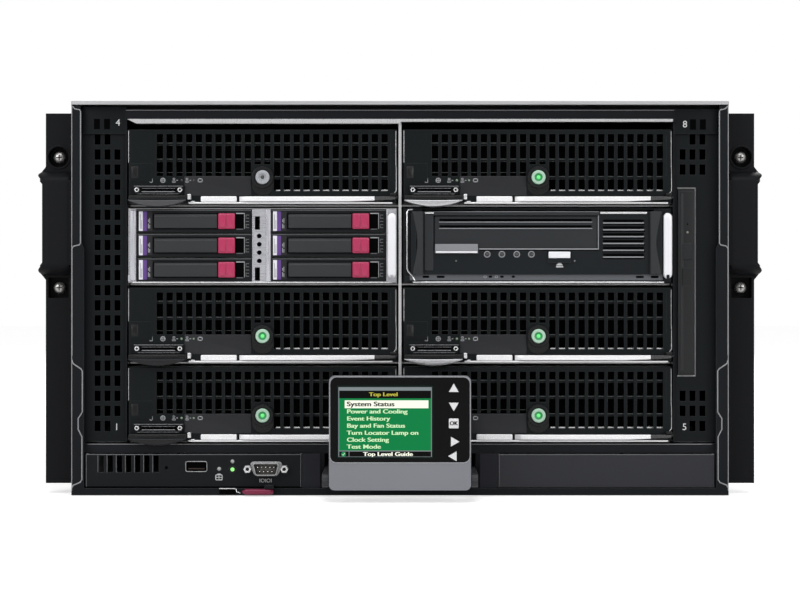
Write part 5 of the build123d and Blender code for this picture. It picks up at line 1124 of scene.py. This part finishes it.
LATCH_PIVOT_Y = -33.3
LATCH_Z = 2.65
NOTCH_LINE = [(-121.6, 4.5), (-110.9, 4.5), (-110.0, 4.0), (-109.9, 2.4), (-107.4, 1.6)]
MODULE_BLOCKS = {
    # The three lines along the face's edges are painted highlights.
    "top_line": (MODULE_X, LINE_Y, (26.95, 27.45), 0.15),
    "left_line": ((-211.5, -211.0), LINE_Y, (5.4, 27.4), 0.15),
    "right_line": ((-67.0, MODULE_X[1]), LINE_Y, (5.4, 27.0), 0.12),
    "usb_tongue": ((-142.6, -131.6), (MODULE_Y - 0.2, MODULE_Y + 2.0), (17.3, 18.1), 0.15),
    "lower_shade": ((-211.0, -66.8), (MODULE_Y - 0.2, MODULE_Y + 0.2), (5.1, 5.8), 0.1),
    "notch": ((-121.4, -110.6), (-30.6, -29.0), (0.7, 4.6), 0.3),
}


def rounded_frame(x, z, y, wall, corner, edge=0.15):
    """A rim: the rounded outline, at a growing inset, climbs the outside and goes down the inside."""
    front, back = y
    shoulder = front + math.copysign(edge, back - front)
    inset = np.array([0, 0, edge, wall - edge, wall, wall])[:, None]
    depth = np.array([back, shoulder, front, front, shoulder, back])[:, None]
    across, upward = rounded_outline(x, z, corner, inset, 5, 0.05)
    return joined_round(loft(across, depth, upward), across.shape[1])


def flared(shape):
    """The serial port's flare: a skin whose width grows by a share for each millimetre above the middle."""
    points = np.array(shape[0])
    x, z = SERIAL_MIDDLE
    points[:, 0] = x + (points[:, 0] - x) * (1 + SERIAL_FLARE * (points[:, 2] - z))
    return points, shape[1]


def latch_bar():
    """A small bar with superellipse sections that thins from its round pivot to the tip."""
    tip, end = LATCH_X
    x = np.concatenate([[tip, -105.3], np.linspace(-104.6, -90.0, 16), [-87.7, -86.2, -85.2, end]])
    from_tip = x - tip + 0.3
    to_end = end + 0.25 - x
    deep = 2.9 * np.clip(from_tip / 3.0, 0.15, 1) ** 0.5 * np.sqrt(np.clip(to_end / 3.1, 0.05, 1))
    high = 1.95 * np.clip(from_tip / 2.0, 0.5, 1) * np.clip((to_end + 0.2) / 1.2, 0.5, 1)
    return along_x(x, (LATCH_PIVOT_Y, deep), (LATCH_Z, high), 0.6)


block = blocks(MODULE_BLOCKS)
vent_line_y = (MODULE_Y - 0.25, MODULE_Y + 0.2)
# Thin grey lines at the left edges of the vent slots: painted highlights.
vent_lines = [rounded_box((x, x + 0.45), vent_line_y, (15.3, 26.7), 0.12) for x in VENT_EDGES]
usb_rim = rounded_frame(USB_X, USB_Z, (MODULE_Y - 0.9, MODULE_Y + 0.1), USB_WALL, 1.5)
usb_dark_y = (MODULE_Y - 0.05, MODULE_Y + 0.8)
usb_dark = rounded_box(grown(USB_X, -0.7), usb_dark_y, grown(USB_Z, -0.7), 0.02, 0.6)
module_lamps = [turned(MODULE_LAMP_PROFILE, *place, 24) for place in MODULE_LAMPS]
frame_mark = gather(
    rounded_frame((-124.3, -119.5), (9.9, 13.8), (MODULE_Y - 0.06, MODULE_Y + 0.1), 0.5, 0.8, 0.03),
    strip((-124.0, -119.8), (11.7, 12.1), MODULE_Y),
    strip((-122.1, -121.7), (10.2, 13.0), MODULE_Y),
    strip((-123.0, -120.8), (13.9, 14.3), MODULE_Y),
)
serial_rim = flared(rounded_frame(SERIAL_X, SERIAL_Z, (SERIAL_FRONT, MODULE_Y), 0.9, 2.0))
flange_y = (MODULE_Y - 0.5, MODULE_Y + 0.1)
serial_flange = flared(rounded_frame(grown(SERIAL_X, 1.5), grown(SERIAL_Z, 0.5), flange_y, 3.2, 2.6))
insert_y = (-29.8, MODULE_Y)
serial_insert = flared(rounded_box(grown(SERIAL_X, -0.8), insert_y, grown(SERIAL_Z, -0.8), 0.3, 1.4))
pin_places = [(SERIAL_MIDDLE[0] + (step - (count - 1) / 2) * PIN_PITCH, SERIAL_MIDDLE[1] + rise)
              for count, rise in PIN_ROWS for step in range(count)]
serial_pins = [turned(PIN_PROFILE, *place, 12) for place in pin_places]
pin_wells = [turned(WELL_PROFILE, *place, 16) for place in pin_places]
posts = [hollow_ring(POST_PROFILE, x, SERIAL_MIDDLE[1], 6) for x in POST_PLACES]
module_paint = painted("module_paint", (0.0066, 0.0078, 0.0092), rough=0.4)
shell_steel = plated("shell_steel", (0.32, 0.32, 0.325), 0.3, (20, 40, 20))
tongue_brown = painted("tongue_brown", (0.035, 0.024, 0.019), rough=0.5, edge_wear_and_highlight=0.0)
lamp_grey = painted("lamp_grey", (0.3, 0.31, 0.3), rough=0.25, shine=0.5, edge_wear_and_highlight=0.0)
insert_grey = painted("insert_grey", (0.1, 0.092, 0.084), rough=0.5, edge_wear_and_highlight=0.1)
latch_burgundy = painted("latch_burgundy", (0.17, 0.013, 0.045), rough=0.25, shine=0.4, edge_wear_and_highlight=0.12,
                         blotch=0.08)
dress("management_module", banded(module_paint, BACKWARD, -0.0268, 0.6, BARE_STEEL))
place_pieces("module", {
    "edges": (gather(block["top_line"], block["left_line"], block["right_line"], *vent_lines), highlight_and_mark_grey),
    "pinhole": (turned(RESET_PROFILE, *RESET_PLACE, 20), hole_shade_black),
    "usb_rim": (usb_rim, shell_steel),
    "usb_tongue": (block["usb_tongue"], tongue_brown),
    "usb_dark": (usb_dark, hole_shade_black),
    "lamp_collar": (hollow_ring(COLLAR_PROFILE, *MODULE_LAMPS[2], 28), pillar_black),
    "lamp_service": (gather(*module_lamps[:2]), lamp_grey),
    "lamp_active": (module_lamps[2], lamp_green),
    "frame_mark": (frame_mark, white_ink),
    "serial_shell": (gather(serial_rim, serial_flange), shell_steel),
    "serial_posts": (gather(*posts), bright_metal),
    "serial_insert": (serial_insert, insert_grey),
    "serial_pins": (gather(*serial_pins), bright_metal),
    "pin_wells": (gather(*pin_wells), hole_shade_black),
    "lower_shade": (block["lower_shade"], hole_shade_black),
}, "management_module")
printed("module_serial_mark", "IOIOI", *SERIAL_MARK, white_ink, "management_module", "module_black")
place_piece("pan_lip_notch", block["notch"], hole_shade_black, "chassis")
place_piece("pan_lip_notch_edge", bead(NOTCH_LINE, 0.3, -30.6), bright_metal, "chassis")
lever = place_piece("module_latch_bar", latch_bar(), latch_burgundy, "management_lever")
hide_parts("management_lever")

# Blank module cover
# The drawer that closes the empty half of the tray: a plain satin grey moulded face, with
# thin light grey lines along its top and inner edges as painted highlights.
COVER_TOP_LINE = ((66.6, 211.4), LINE_Y, (26.9, 27.4), 0.15)
COVER_SIDE_LINE = ((66.6, 67.0), LINE_Y, (5.4, 27.0), 0.12)
cover_grey = painted("cover_grey", (0.015, 0.0155, 0.02), rough=0.34, shine=0.3, blotch=0.2)
dress("spare_module_cover", banded(cover_grey, BACKWARD, -0.0268, 0.6, BARE_STEEL))
# Light grey lines on the cover's top and inner edges: painted highlights.
cover_edges = gather(rounded_box(*COVER_TOP_LINE), rounded_box(*COVER_SIDE_LINE))
place_piece("blank_cover_edges", cover_edges, highlight_and_mark_grey, "spare_module_cover")

# Pop-up display
# A hinged panel on a sliding carriage. A gloss black face inside a bright grey rim holds the
# lit screen and the five keys; the housing's foot and back are satin grey plastic.
DISPLAY_Y = -82.0
GLASS_Y = -81.4
FACE_X = (-45.4, 45.4)
FACE_Z = (26.2, 81.2)
FACE_CORNER = 4.4
FACE_DEPTHS = (-0.0764, -0.0762)
FACE_BLACK = (0.004, 0.004, 0.0045)
SCREEN_X = (-41.0, 21.8)
SCREEN_Z = (28.6, 76.2)
PICTURE_X = (-39.9, 20.6)
PICTURE_Z = (29.6, 74.8)
TITLE_BAR_Z = (67.6, 72.6)
FOOT_BAR_TOP = 33.2
HIGHLIGHT = ((-35.8, 18.4), (61.2, 66.3))
ROWS_LEFT = -34.6
ROW_HEIGHT = 3.8
MENU_ROWS = (
    (59.0, "Power and Cooling"), (54.4, "Event History"), (49.8, "Bay and Fan Status"),
    (45.2, "Turn Locator Lamp on"), (40.7, "Clock Setting"), (36.2, "Test Mode"),
)
LETTER_STRETCH = 1.32
STRIKE_STEP = 0.3
CHECK_PLACE = (-36.6, 31.4)
CHECK_PROFILE = [(1.6, GLASS_Y), (1.6, GLASS_Y - 0.13), (0.1, GLASS_Y - 0.13), (0.1, GLASS_Y)]
TICK_PATH = [(-37.4, 31.4), (-36.8, 30.7), (-35.7, 32.3)]
OK_KEY_FRONT = -82.64
OK_KEY = ((31.6, 38.0), (OK_KEY_FRONT, -78.4), (48.2, 54.6), 0.3, 0.6)
OK_PRINTS = (34.65, 34.95)
OK_Z = 51.4


def object_axis(tree, axis):
    """One of the piece's own coordinates, in metres."""
    place = tree.nodes.new("ShaderNodeTexCoord")
    parts = tree.nodes.new("ShaderNodeSeparateXYZ")
    tree.links.new(place.outputs["Object"], parts.inputs[0])
    return parts.outputs[axis]


def inside_panel(tree, x, z, corner):
    """One inside a rounded rectangle: the distance beyond its inner rectangle stays under the radius."""
    socket = tree.nodes.new("ShaderNodeTexCoord").outputs["Object"]
    middle = (sum(x) / 2 * MM, 0, sum(z) / 2 * MM)
    inner = ((x[1] - x[0]) / 2 * MM - corner * MM, 1.0, (z[1] - z[0]) / 2 * MM - corner * MM)
    steps = (("SUBTRACT", middle), ("ABSOLUTE", None), ("SUBTRACT", inner), ("MAXIMUM", (0, 0, 0)))
    for operation, value in steps:
        step = tree.nodes.new("ShaderNodeVectorMath")
        step.operation = operation
        tree.links.new(socket, step.inputs[0])
        if value is not None:
            step.inputs[1].default_value = value
        socket = step.outputs[0]
    beyond = tree.nodes.new("ShaderNodeVectorMath")
    beyond.operation = "LENGTH"
    tree.links.new(socket, beyond.inputs[0])
    under = tree.nodes.new("ShaderNodeMath")
    under.operation = "LESS_THAN"
    under.inputs[1].default_value = corner * MM
    tree.links.new(beyond.outputs["Value"], under.inputs[0])
    return under.outputs[0]


def display_finish():
    """Satin grey plastic whose front face is gloss black inside a rounded rectangle."""
    material = painted("housing_grey", (0.17, 0.175, 0.195), rough=0.36, shine=0.3, edge_wear_and_highlight=0.1, blotch=0.08)
    tree = material.node_tree
    shader = tree.nodes["Principled BSDF"]
    face = tree.nodes.new("ShaderNodeMath")
    face.operation = "MULTIPLY"
    tree.links.new(inside_panel(tree, FACE_X, FACE_Z, FACE_CORNER), face.inputs[0])
    tree.links.new(ranged(tree, object_axis(tree, 1), 1.0, 0.0, *FACE_DEPTHS), face.inputs[1])
    moulded = shader.inputs["Base Color"].links[0].from_socket
    tree.links.new(mixed(tree, face.outputs[0], moulded, FACE_BLACK), shader.inputs["Base Color"])
    gloss = tree.nodes.new("ShaderNodeMix")
    tree.links.new(face.outputs[0], gloss.inputs["Factor"])
    tree.links.new(shader.inputs["Roughness"].links[0].from_socket, gloss.inputs[2])
    gloss.inputs[3].default_value = 0.12
    tree.links.new(gloss.outputs[0], shader.inputs["Roughness"])
    sheen = tree.nodes.new("ShaderNodeMix")
    tree.links.new(face.outputs[0], sheen.inputs["Factor"])
    sheen.inputs[2].default_value = 0.3
    sheen.inputs[3].default_value = 0.06
    tree.links.new(sheen.outputs[0], shader.inputs["Specular IOR Level"])
    return material


def glowing(name, colour, strength):
    """Screen ink: it gives off its own colour, with hardly any reflection."""
    material = bpy.data.materials.new(name)
    material.use_nodes = True
    shader = material.node_tree.nodes["Principled BSDF"]
    set_inputs(shader, Base_Color=0.15 * np.array(colour), Roughness=0.3, Specular_IOR_Level=0.1)
    set_inputs(shader, Emission_Color=colour, Emission_Strength=strength)
    return material


def on_screen(x, z, layer=0):
    """A flat patch of the picture, laid over the ones of lower layers."""
    return rounded_box(x, (GLASS_Y - 0.04 - 0.03 * layer, GLASS_Y + 0.05), z, 0.01, 0.02, steps=1)


def screen_words(name, words, x, z, height, material, bold):
    """A line of the picture's text that starts at x, struck twice with a small step to read as bold."""
    spots, sides = letters(name, words, height, 0.02, "LEFT", bold)
    across = spots[:, 0] * LETTER_STRETCH + x
    stood = np.stack([across, GLASS_Y - 0.14 - spots[:, 2], spots[:, 1] + z], axis=1)
    struck = gather((stood, sides), (stood + (STRIKE_STEP, -0.01, 0), sides))
    return place_piece(name, struck, material, "display")


dress("display_housing", display_finish())
# The carriage is painted near black: painted shade, where it sits in shadow under the display.
dress("display_carriage", painted("carriage_grey", (0.022, 0.022, 0.026), rough=0.4, shine=0.3))
screen_glass = painted("screen_glass", (0.004, 0.006, 0.006), rough=0.12, shine=0.5, edge_wear_and_highlight=0.0, grain=0.0)
dress("display_screen", screen_glass)
rim_grey = painted("rim_grey", (0.24, 0.245, 0.26), rough=0.28, shine=0.5, edge_wear_and_highlight=0.1)
surround_black = painted("surround_black", (0.004, 0.012, 0.009), rough=0.2, edge_wear_and_highlight=0.0)
rim_y = (DISPLAY_Y - 0.35, DISPLAY_Y + 0.2)
display_rim = rounded_frame(grown(FACE_X, 0.5), (25.4, 81.9), rim_y, 0.75, 4.8, 0.2)
surround = rounded_frame(SCREEN_X, SCREEN_Z, (DISPLAY_Y + 0.35, GLASS_Y + 0.1), 1.1, 0.5, 0.1)
place_piece("display_rim", display_rim, rim_grey, "display")
place_piece("display_screen_surround", surround, surround_black, "display")

screen_black = glowing("screen_black", (0.003, 0.003, 0.003), 0.0)
screen_cream = glowing("screen_cream", (0.95, 0.97, 0.82), 0.9)
screen_text = glowing("screen_text", (0.6, 0.85, 0.5), 0.9)
screen_lime = glowing("screen_lime", (0.01, 0.32, 0.12), 0.6)
left, right = PICTURE_X
low, top = PICTURE_Z
bars = gather(on_screen(PICTURE_X, TITLE_BAR_Z, 1), on_screen(PICTURE_X, (low, FOOT_BAR_TOP), 1))
lines = gather(
    on_screen(PICTURE_X, (TITLE_BAR_Z[1], top), 1),
    on_screen(PICTURE_X, (FOOT_BAR_TOP, FOOT_BAR_TOP + 0.6), 1),
    on_screen((left, left + 0.5), PICTURE_Z, 2),
    on_screen((right - 0.5, right), PICTURE_Z, 2),
    on_screen(PICTURE_X, (low - 0.3, low + 0.3), 2),
    on_screen((-33.2, -32.8), (low, FOOT_BAR_TOP), 2),
)
place_pieces("screen", {
    "field": (on_screen(PICTURE_X, PICTURE_Z), glowing("screen_green", (0.002, 0.19, 0.05), 0.95)),
    "bars": (bars, screen_black),
    "lines": (lines, glowing("screen_grey", (0.2, 0.23, 0.24), 0.9)),
    "highlight": (on_screen(*HIGHLIGHT, 1), screen_cream),
    "check_disc": (hollow_ring(CHECK_PROFILE, *CHECK_PLACE, 24), screen_lime),
    "tick": (bead(TICK_PATH, 0.22, GLASS_Y - 0.16, 6), screen_text),
}, "display")
for number, (z, words) in enumerate(MENU_ROWS, start=1):
    screen_words(f"screen_row_{number}", words, ROWS_LEFT, z, ROW_HEIGHT, screen_text, 0.03)
screen_words("screen_highlight_row", "System Status", ROWS_LEFT, 63.8, 4.2, screen_black, 0.04)
screen_yellow = glowing("screen_yellow", (0.55, 0.5, 0.06), 0.8)
screen_words("screen_title", "Top Level", -20.2, 70.1, 3.5, screen_yellow, 0.02)
screen_words("screen_foot", "Top Level Guide", -24.0, 31.4, 3.6, screen_cream, 0.03)
key_white = painted("key_white", (0.6, 0.6, 0.61), rough=0.36, shine=0.4, edge_wear_and_highlight=0.0, blotch=0.04)
for name in ("up", "down", "ok", "right", "left"):
    dress(f"key_{name}", key_white)
ok_cap = place_piece("key_ok_cap", rounded_box(*OK_KEY), key_white, "key_ok")
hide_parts("key_ok")
for step, x in enumerate(OK_PRINTS):
    printed(f"key_ok_print_{step}", "OK", x, OK_KEY_FRONT, OK_Z, 3.6, hole_shade_black, "key_ok", "key_white")

# Midplane
# A dark green circuit board across the whole enclosure, with black moulded sockets. It
# stands between the blades and the modules at the rear.
BOARD_Y = (0.4618, 0.4722)
BOARD_GREEN = (0.008, 0.05, 0.022)
socket_black = painted("midplane_finish", (0.012, 0.012, 0.013), rough=0.4)
dress("midplane", banded(socket_black, BACKWARD, *BOARD_Y, BOARD_GREEN))

# Rear frame
# Plated steel shelves and uprights that part the modules behind the midplane. They have
# the same finish as the bay dividers.
dress("rear_frame", divider_plating)

# Fan modules
# Each fan sits in a square black moulded housing. Three wire rings guard its bore, a round
# cap covers the motor's mount, and a burgundy latch and a lamp stand at its upper corners.
BACK_Y = 790.6
FAN_X = 160.5
FAN_HEIGHTS = (44.57, 131.9, 219.23)
FAN_PLACES = [(side * FAN_X, z) for side in (-1, 1) for z in FAN_HEIGHTS]
FAN_RIM = ((-57.6, 57.6), (-41.7, 41.7), (BACK_Y + 1.6, BACK_Y - 0.4), 2.2, 4.0, 0.6)
WIRE_RADIUS = 0.8
WIRE_RINGS = (35.2, 29.0, 22.8)
HUB_LABEL_PROFILE = [(0, 787.35), (9.0, 787.35), (9.2, 787.1)]
BORE_PROFILE = [
    (37.8, BACK_Y - 0.4), (37.8, BACK_Y + 1.2), (38.3, BACK_Y + 1.7),
    (39.6, BACK_Y + 1.7), (40.2, BACK_Y + 1.2), (40.2, BACK_Y - 0.4),
]
MOTOR_CAP_PROFILE = [(0, BACK_Y + 2.0), (14.0, BACK_Y + 1.9), (16.4, BACK_Y + 1.2), (17.2, BACK_Y - 0.2)]
FAN_SCREW_PROFILE = [(0, BACK_Y + 1.5), (1.6, BACK_Y + 1.4), (2.6, BACK_Y + 0.9), (3.0, BACK_Y)]
FAN_SCREW_X = (-50.5, 50.5)
FAN_SCREW_Z = -34.5
FAN_LATCH = ((-53.0, -41.0), (BACK_Y + 5.6, BACK_Y), (14.0, 36.0), 1.4, 2.0)
FAN_LATCH_RIB = ((-51.0, -43.0), (BACK_Y + 6.1, BACK_Y + 5.0), (17.0, 17.9), 0.3)
FAN_LATCH_RIB_PITCH = 2.4
FAN_LAMP_PROFILE = [(0, BACK_Y + 1.1), (1.0, BACK_Y + 0.9), (1.6, BACK_Y)]
FAN_LAMP_PLACE = (49.0, 34.0)


def wire_ring(radius, x, z, y):
    """A torus about a line from front to back: a small circle of points carried round a large one."""
    turn = np.linspace(0, 2 * np.pi, 8, endpoint=False)
    section = np.stack([radius + WIRE_RADIUS * np.cos(turn), y + WIRE_RADIUS * np.sin(turn)], axis=1)
    return hollow_ring(section, x, z, 56)


fan_black = painted("fan_black", (0.009, 0.0095, 0.011), rough=0.46, grain=0.14, edge_wear_and_highlight=0.1)
rotor_black = painted("rotor_black", (0.012, 0.0125, 0.014), rough=0.34, shine=0.3, edge_wear_and_highlight=0.1)
wire_steel = plated("wire_steel", (0.5, 0.5, 0.5), 0.28, (60, 60, 60))
dress("fan_modules", fan_black)
for number, place in enumerate(FAN_PLACES, start=1):
    rotor = f"fan_rotor_{number}"
    dress(rotor, rotor_black)
    hub_label = turned(HUB_LABEL_PROFILE, *place, 40)
    place_piece(f"fan_{number}_rotor_label", hub_label, moulded_silver, rotor)
rim = rounded_frame(*FAN_RIM)
guard = gather(*[wire_ring(radius, 0, 0, BACK_Y + 0.9) for radius in WIRE_RINGS])
screws = gather(*[turned(FAN_SCREW_PROFILE, x, FAN_SCREW_Z, 24) for x in FAN_SCREW_X])
latch_ribs = repeat(rounded_box(*FAN_LATCH_RIB), [(0, 0, step * FAN_LATCH_RIB_PITCH) for step in range(3)])
fan_moves = [(x, 0, z) for x, z in FAN_PLACES]
fan_parts = {
    "rims": (gather(rim, hollow_ring(BORE_PROFILE, 0, 0, 64)), fan_black),
    "motor_caps": (turned(MOTOR_CAP_PROFILE, 0, 0, 48), rotor_black),
    "guards": (guard, wire_steel),
    "screws": (screws, screw_steel),
    "latches": (gather(rounded_box(*FAN_LATCH), latch_ribs), burgundy),
    "lamps": (turned(FAN_LAMP_PROFILE, *FAN_LAMP_PLACE, 20), lamp_green),
}
for name, (shape, material) in fan_parts.items():
    place_piece(f"fan_{name}", repeat(shape, fan_moves), material, "chassis")

# Power supplies
# Six plated boxes. The rear face of each shows a black three-pin inlet, a field of small
# vent holes, two lamps and a burgundy latch tab with finger ribs.
SUPPLY_FLOORS = (1.8, 43.9, 86.0)
SUPPLY_LEFTS = (-99.7, 0.3)
SUPPLY_EDGE = ((0.2, 99.2), (0.2, 39.8), (BACK_Y + 0.5, BACK_Y - 0.3), 0.9, 1.0, 0.2)
INLET_X = (8.0, 35.0)
INLET_Z = (10.0, 29.0)
INLET_PINS = ((14.5, 17.6), (28.5, 17.6), (21.5, 21.6))
HOLE_STEPS = (3.4, 3.0)
FIRST_HOLE = (43.0, 6.5)
SUPPLY_HOLE_PROFILE = [(0, BACK_Y + 0.06), (1.25, BACK_Y + 0.06), (1.25, BACK_Y - 0.2)]
SUPPLY_LAMPS = (14.0, 20.0)
SUPPLY_LAMP_Z = 35.4
SUPPLY_LAMP_PROFILE = [(0, BACK_Y + 0.9), (0.9, BACK_Y + 0.7), (1.3, BACK_Y)]
supply_steel = plated("supply_steel", (0.5, 0.5, 0.51), 0.32, (6, 120, 120))
supply_body = plated("supply_body", (0.5, 0.5, 0.51), 0.32, (6, 120, 120))
dress("power_supplies", banded(supply_body, BACKWARD, 0.791, 0.8, BURGUNDY))
socket_rim = gather(
    rounded_frame(grown(INLET_X, 1.6), grown(INLET_Z, 1.6), (BACK_Y + 1.4, BACK_Y - 8.0), 2.2, 2.4, 0.4),
    rounded_box(grown(INLET_X, -0.2), (BACK_Y - 13.2, BACK_Y - 13.9), grown(INLET_Z, -0.2), 0.1),
    rounded_box(grown(INLET_X, -3.4), (BACK_Y - 3.0, BACK_Y - 13.8), grown(INLET_Z, -3.6), 0.5, 2.0),
)
pin_y = (BACK_Y - 0.8, BACK_Y - 4.0)
inlet_pins = [rounded_box((x - 1.0, x + 1.0), pin_y, (z - 2.0, z + 2.0), 0.3) for x, z in INLET_PINS]
hole_places = [(FIRST_HOLE[0] + HOLE_STEPS[0] * (column + row % 2 / 2), FIRST_HOLE[1] + HOLE_STEPS[1] * row)
               for column in range(10) for row in range(10)]
vent_holes = [turned(SUPPLY_HOLE_PROFILE, *place, 10) for place in hole_places]
supply_lamps = [turned(SUPPLY_LAMP_PROFILE, x, SUPPLY_LAMP_Z, 20) for x in SUPPLY_LAMPS]
supply_moves = [(left, 0, floor) for floor in SUPPLY_FLOORS for left in SUPPLY_LEFTS]
supply_parts = {
    "inlets": (socket_rim, pillar_black),
    "inlet_pins": (gather(*inlet_pins), bright_metal),
    "vent_holes": (gather(*vent_holes), hole_shade_black),
    "lamps": (gather(*supply_lamps), lamp_green),
    "edges": (rounded_frame(*SUPPLY_EDGE), supply_steel),
}
for name, (shape, material) in supply_parts.items():
    place_piece(f"supply_{name}", repeat(shape, supply_moves), material, "chassis")

# Interconnect modules
# Four flat modules with a black port band each: sixteen square ports with a lamp under
# each, and a spring latch with a knurled knob at both ends.
SWITCH_MIDDLES = (144.1, 178.0, 211.8, 245.7)
PORT_COUNT = 16
PORT_PITCH = 10.4
PORT_Z = (-4.4, 4.6)
PORT_BAND = ((-85.4, 85.4), (-5.9, 5.9), (BACK_Y + 0.3, BACK_Y - 6.0), 1.0, 0.6, 0.15)
PORT_BACK = ((-85.0, 85.0), (BACK_Y - 9.0, BACK_Y - 11.9), (-5.6, 5.6), 0.1)
PIN_Y = (BACK_Y - 3.0, BACK_Y - 8.6)
PINS_IN_PORT = 8
PORT_PIN_PITCH = 0.8
PORT_PIN_WIDTH = 0.4
LATCH_MIDDLES = (-93.0, 93.0)
KNOB_PROFILE = [(0, BACK_Y + 7.6), (2.4, BACK_Y + 7.5), (3.1, BACK_Y + 6.9), (3.1, BACK_Y + 4.0)]
switch_grey = plated("switch_grey", (0.34, 0.35, 0.36), 0.36, (6, 120, 120))
dress("interconnect_modules", switch_grey)
port_lefts = [(step - PORT_COUNT / 2) * PORT_PITCH for step in range(PORT_COUNT)]
port_y = (BACK_Y + 0.4, BACK_Y - 8.0)
port_spans = [(x + 0.5, x + PORT_PITCH - 0.5) for x in port_lefts]
port_rims = [rounded_frame(x, PORT_Z, port_y, 0.9, 0.8, 0.15) for x in port_spans]
pin_lefts = [x + 2.2 + pin * PORT_PIN_PITCH for x in port_lefts for pin in range(PINS_IN_PORT)]
port_pins = [rounded_box((x, x + PORT_PIN_WIDTH), PIN_Y, (2.2, 3.2), 0.08, steps=1) for x in pin_lefts]
lamp_y = (BACK_Y + 0.5, BACK_Y)
port_lamps = [rounded_box((x + 4.4, x + 6.0), lamp_y, (-9.4, -8.4), 0.2) for x in port_lefts]
latch_y = (BACK_Y + 4.6, BACK_Y)
end_latches = [rounded_box((x - 4.4, x + 4.4), latch_y, (-9.0, 9.0), 1.0, 1.6) for x in LATCH_MIDDLES]
end_knobs = [turned(KNOB_PROFILE, x, 0, 24) for x in LATCH_MIDDLES]
switch_moves = [(0, 0, z) for z in SWITCH_MIDDLES]
switch_parts = {
    "port_rims": (gather(*port_rims, rounded_frame(*PORT_BAND)), bright_metal),
    "port_backs": (rounded_box(*PORT_BACK), hole_shade_black),
    "port_pins": (gather(*port_pins), port_silver),
    "port_lamps": (gather(*port_lamps), lamp_green),
    "latches": (gather(*end_latches), pillar_black),
    "knobs": (gather(*end_knobs), screw_steel),
}
for name, (shape, material) in switch_parts.items():
    place_piece(f"switch_{name}", repeat(shape, switch_moves), material, "chassis")
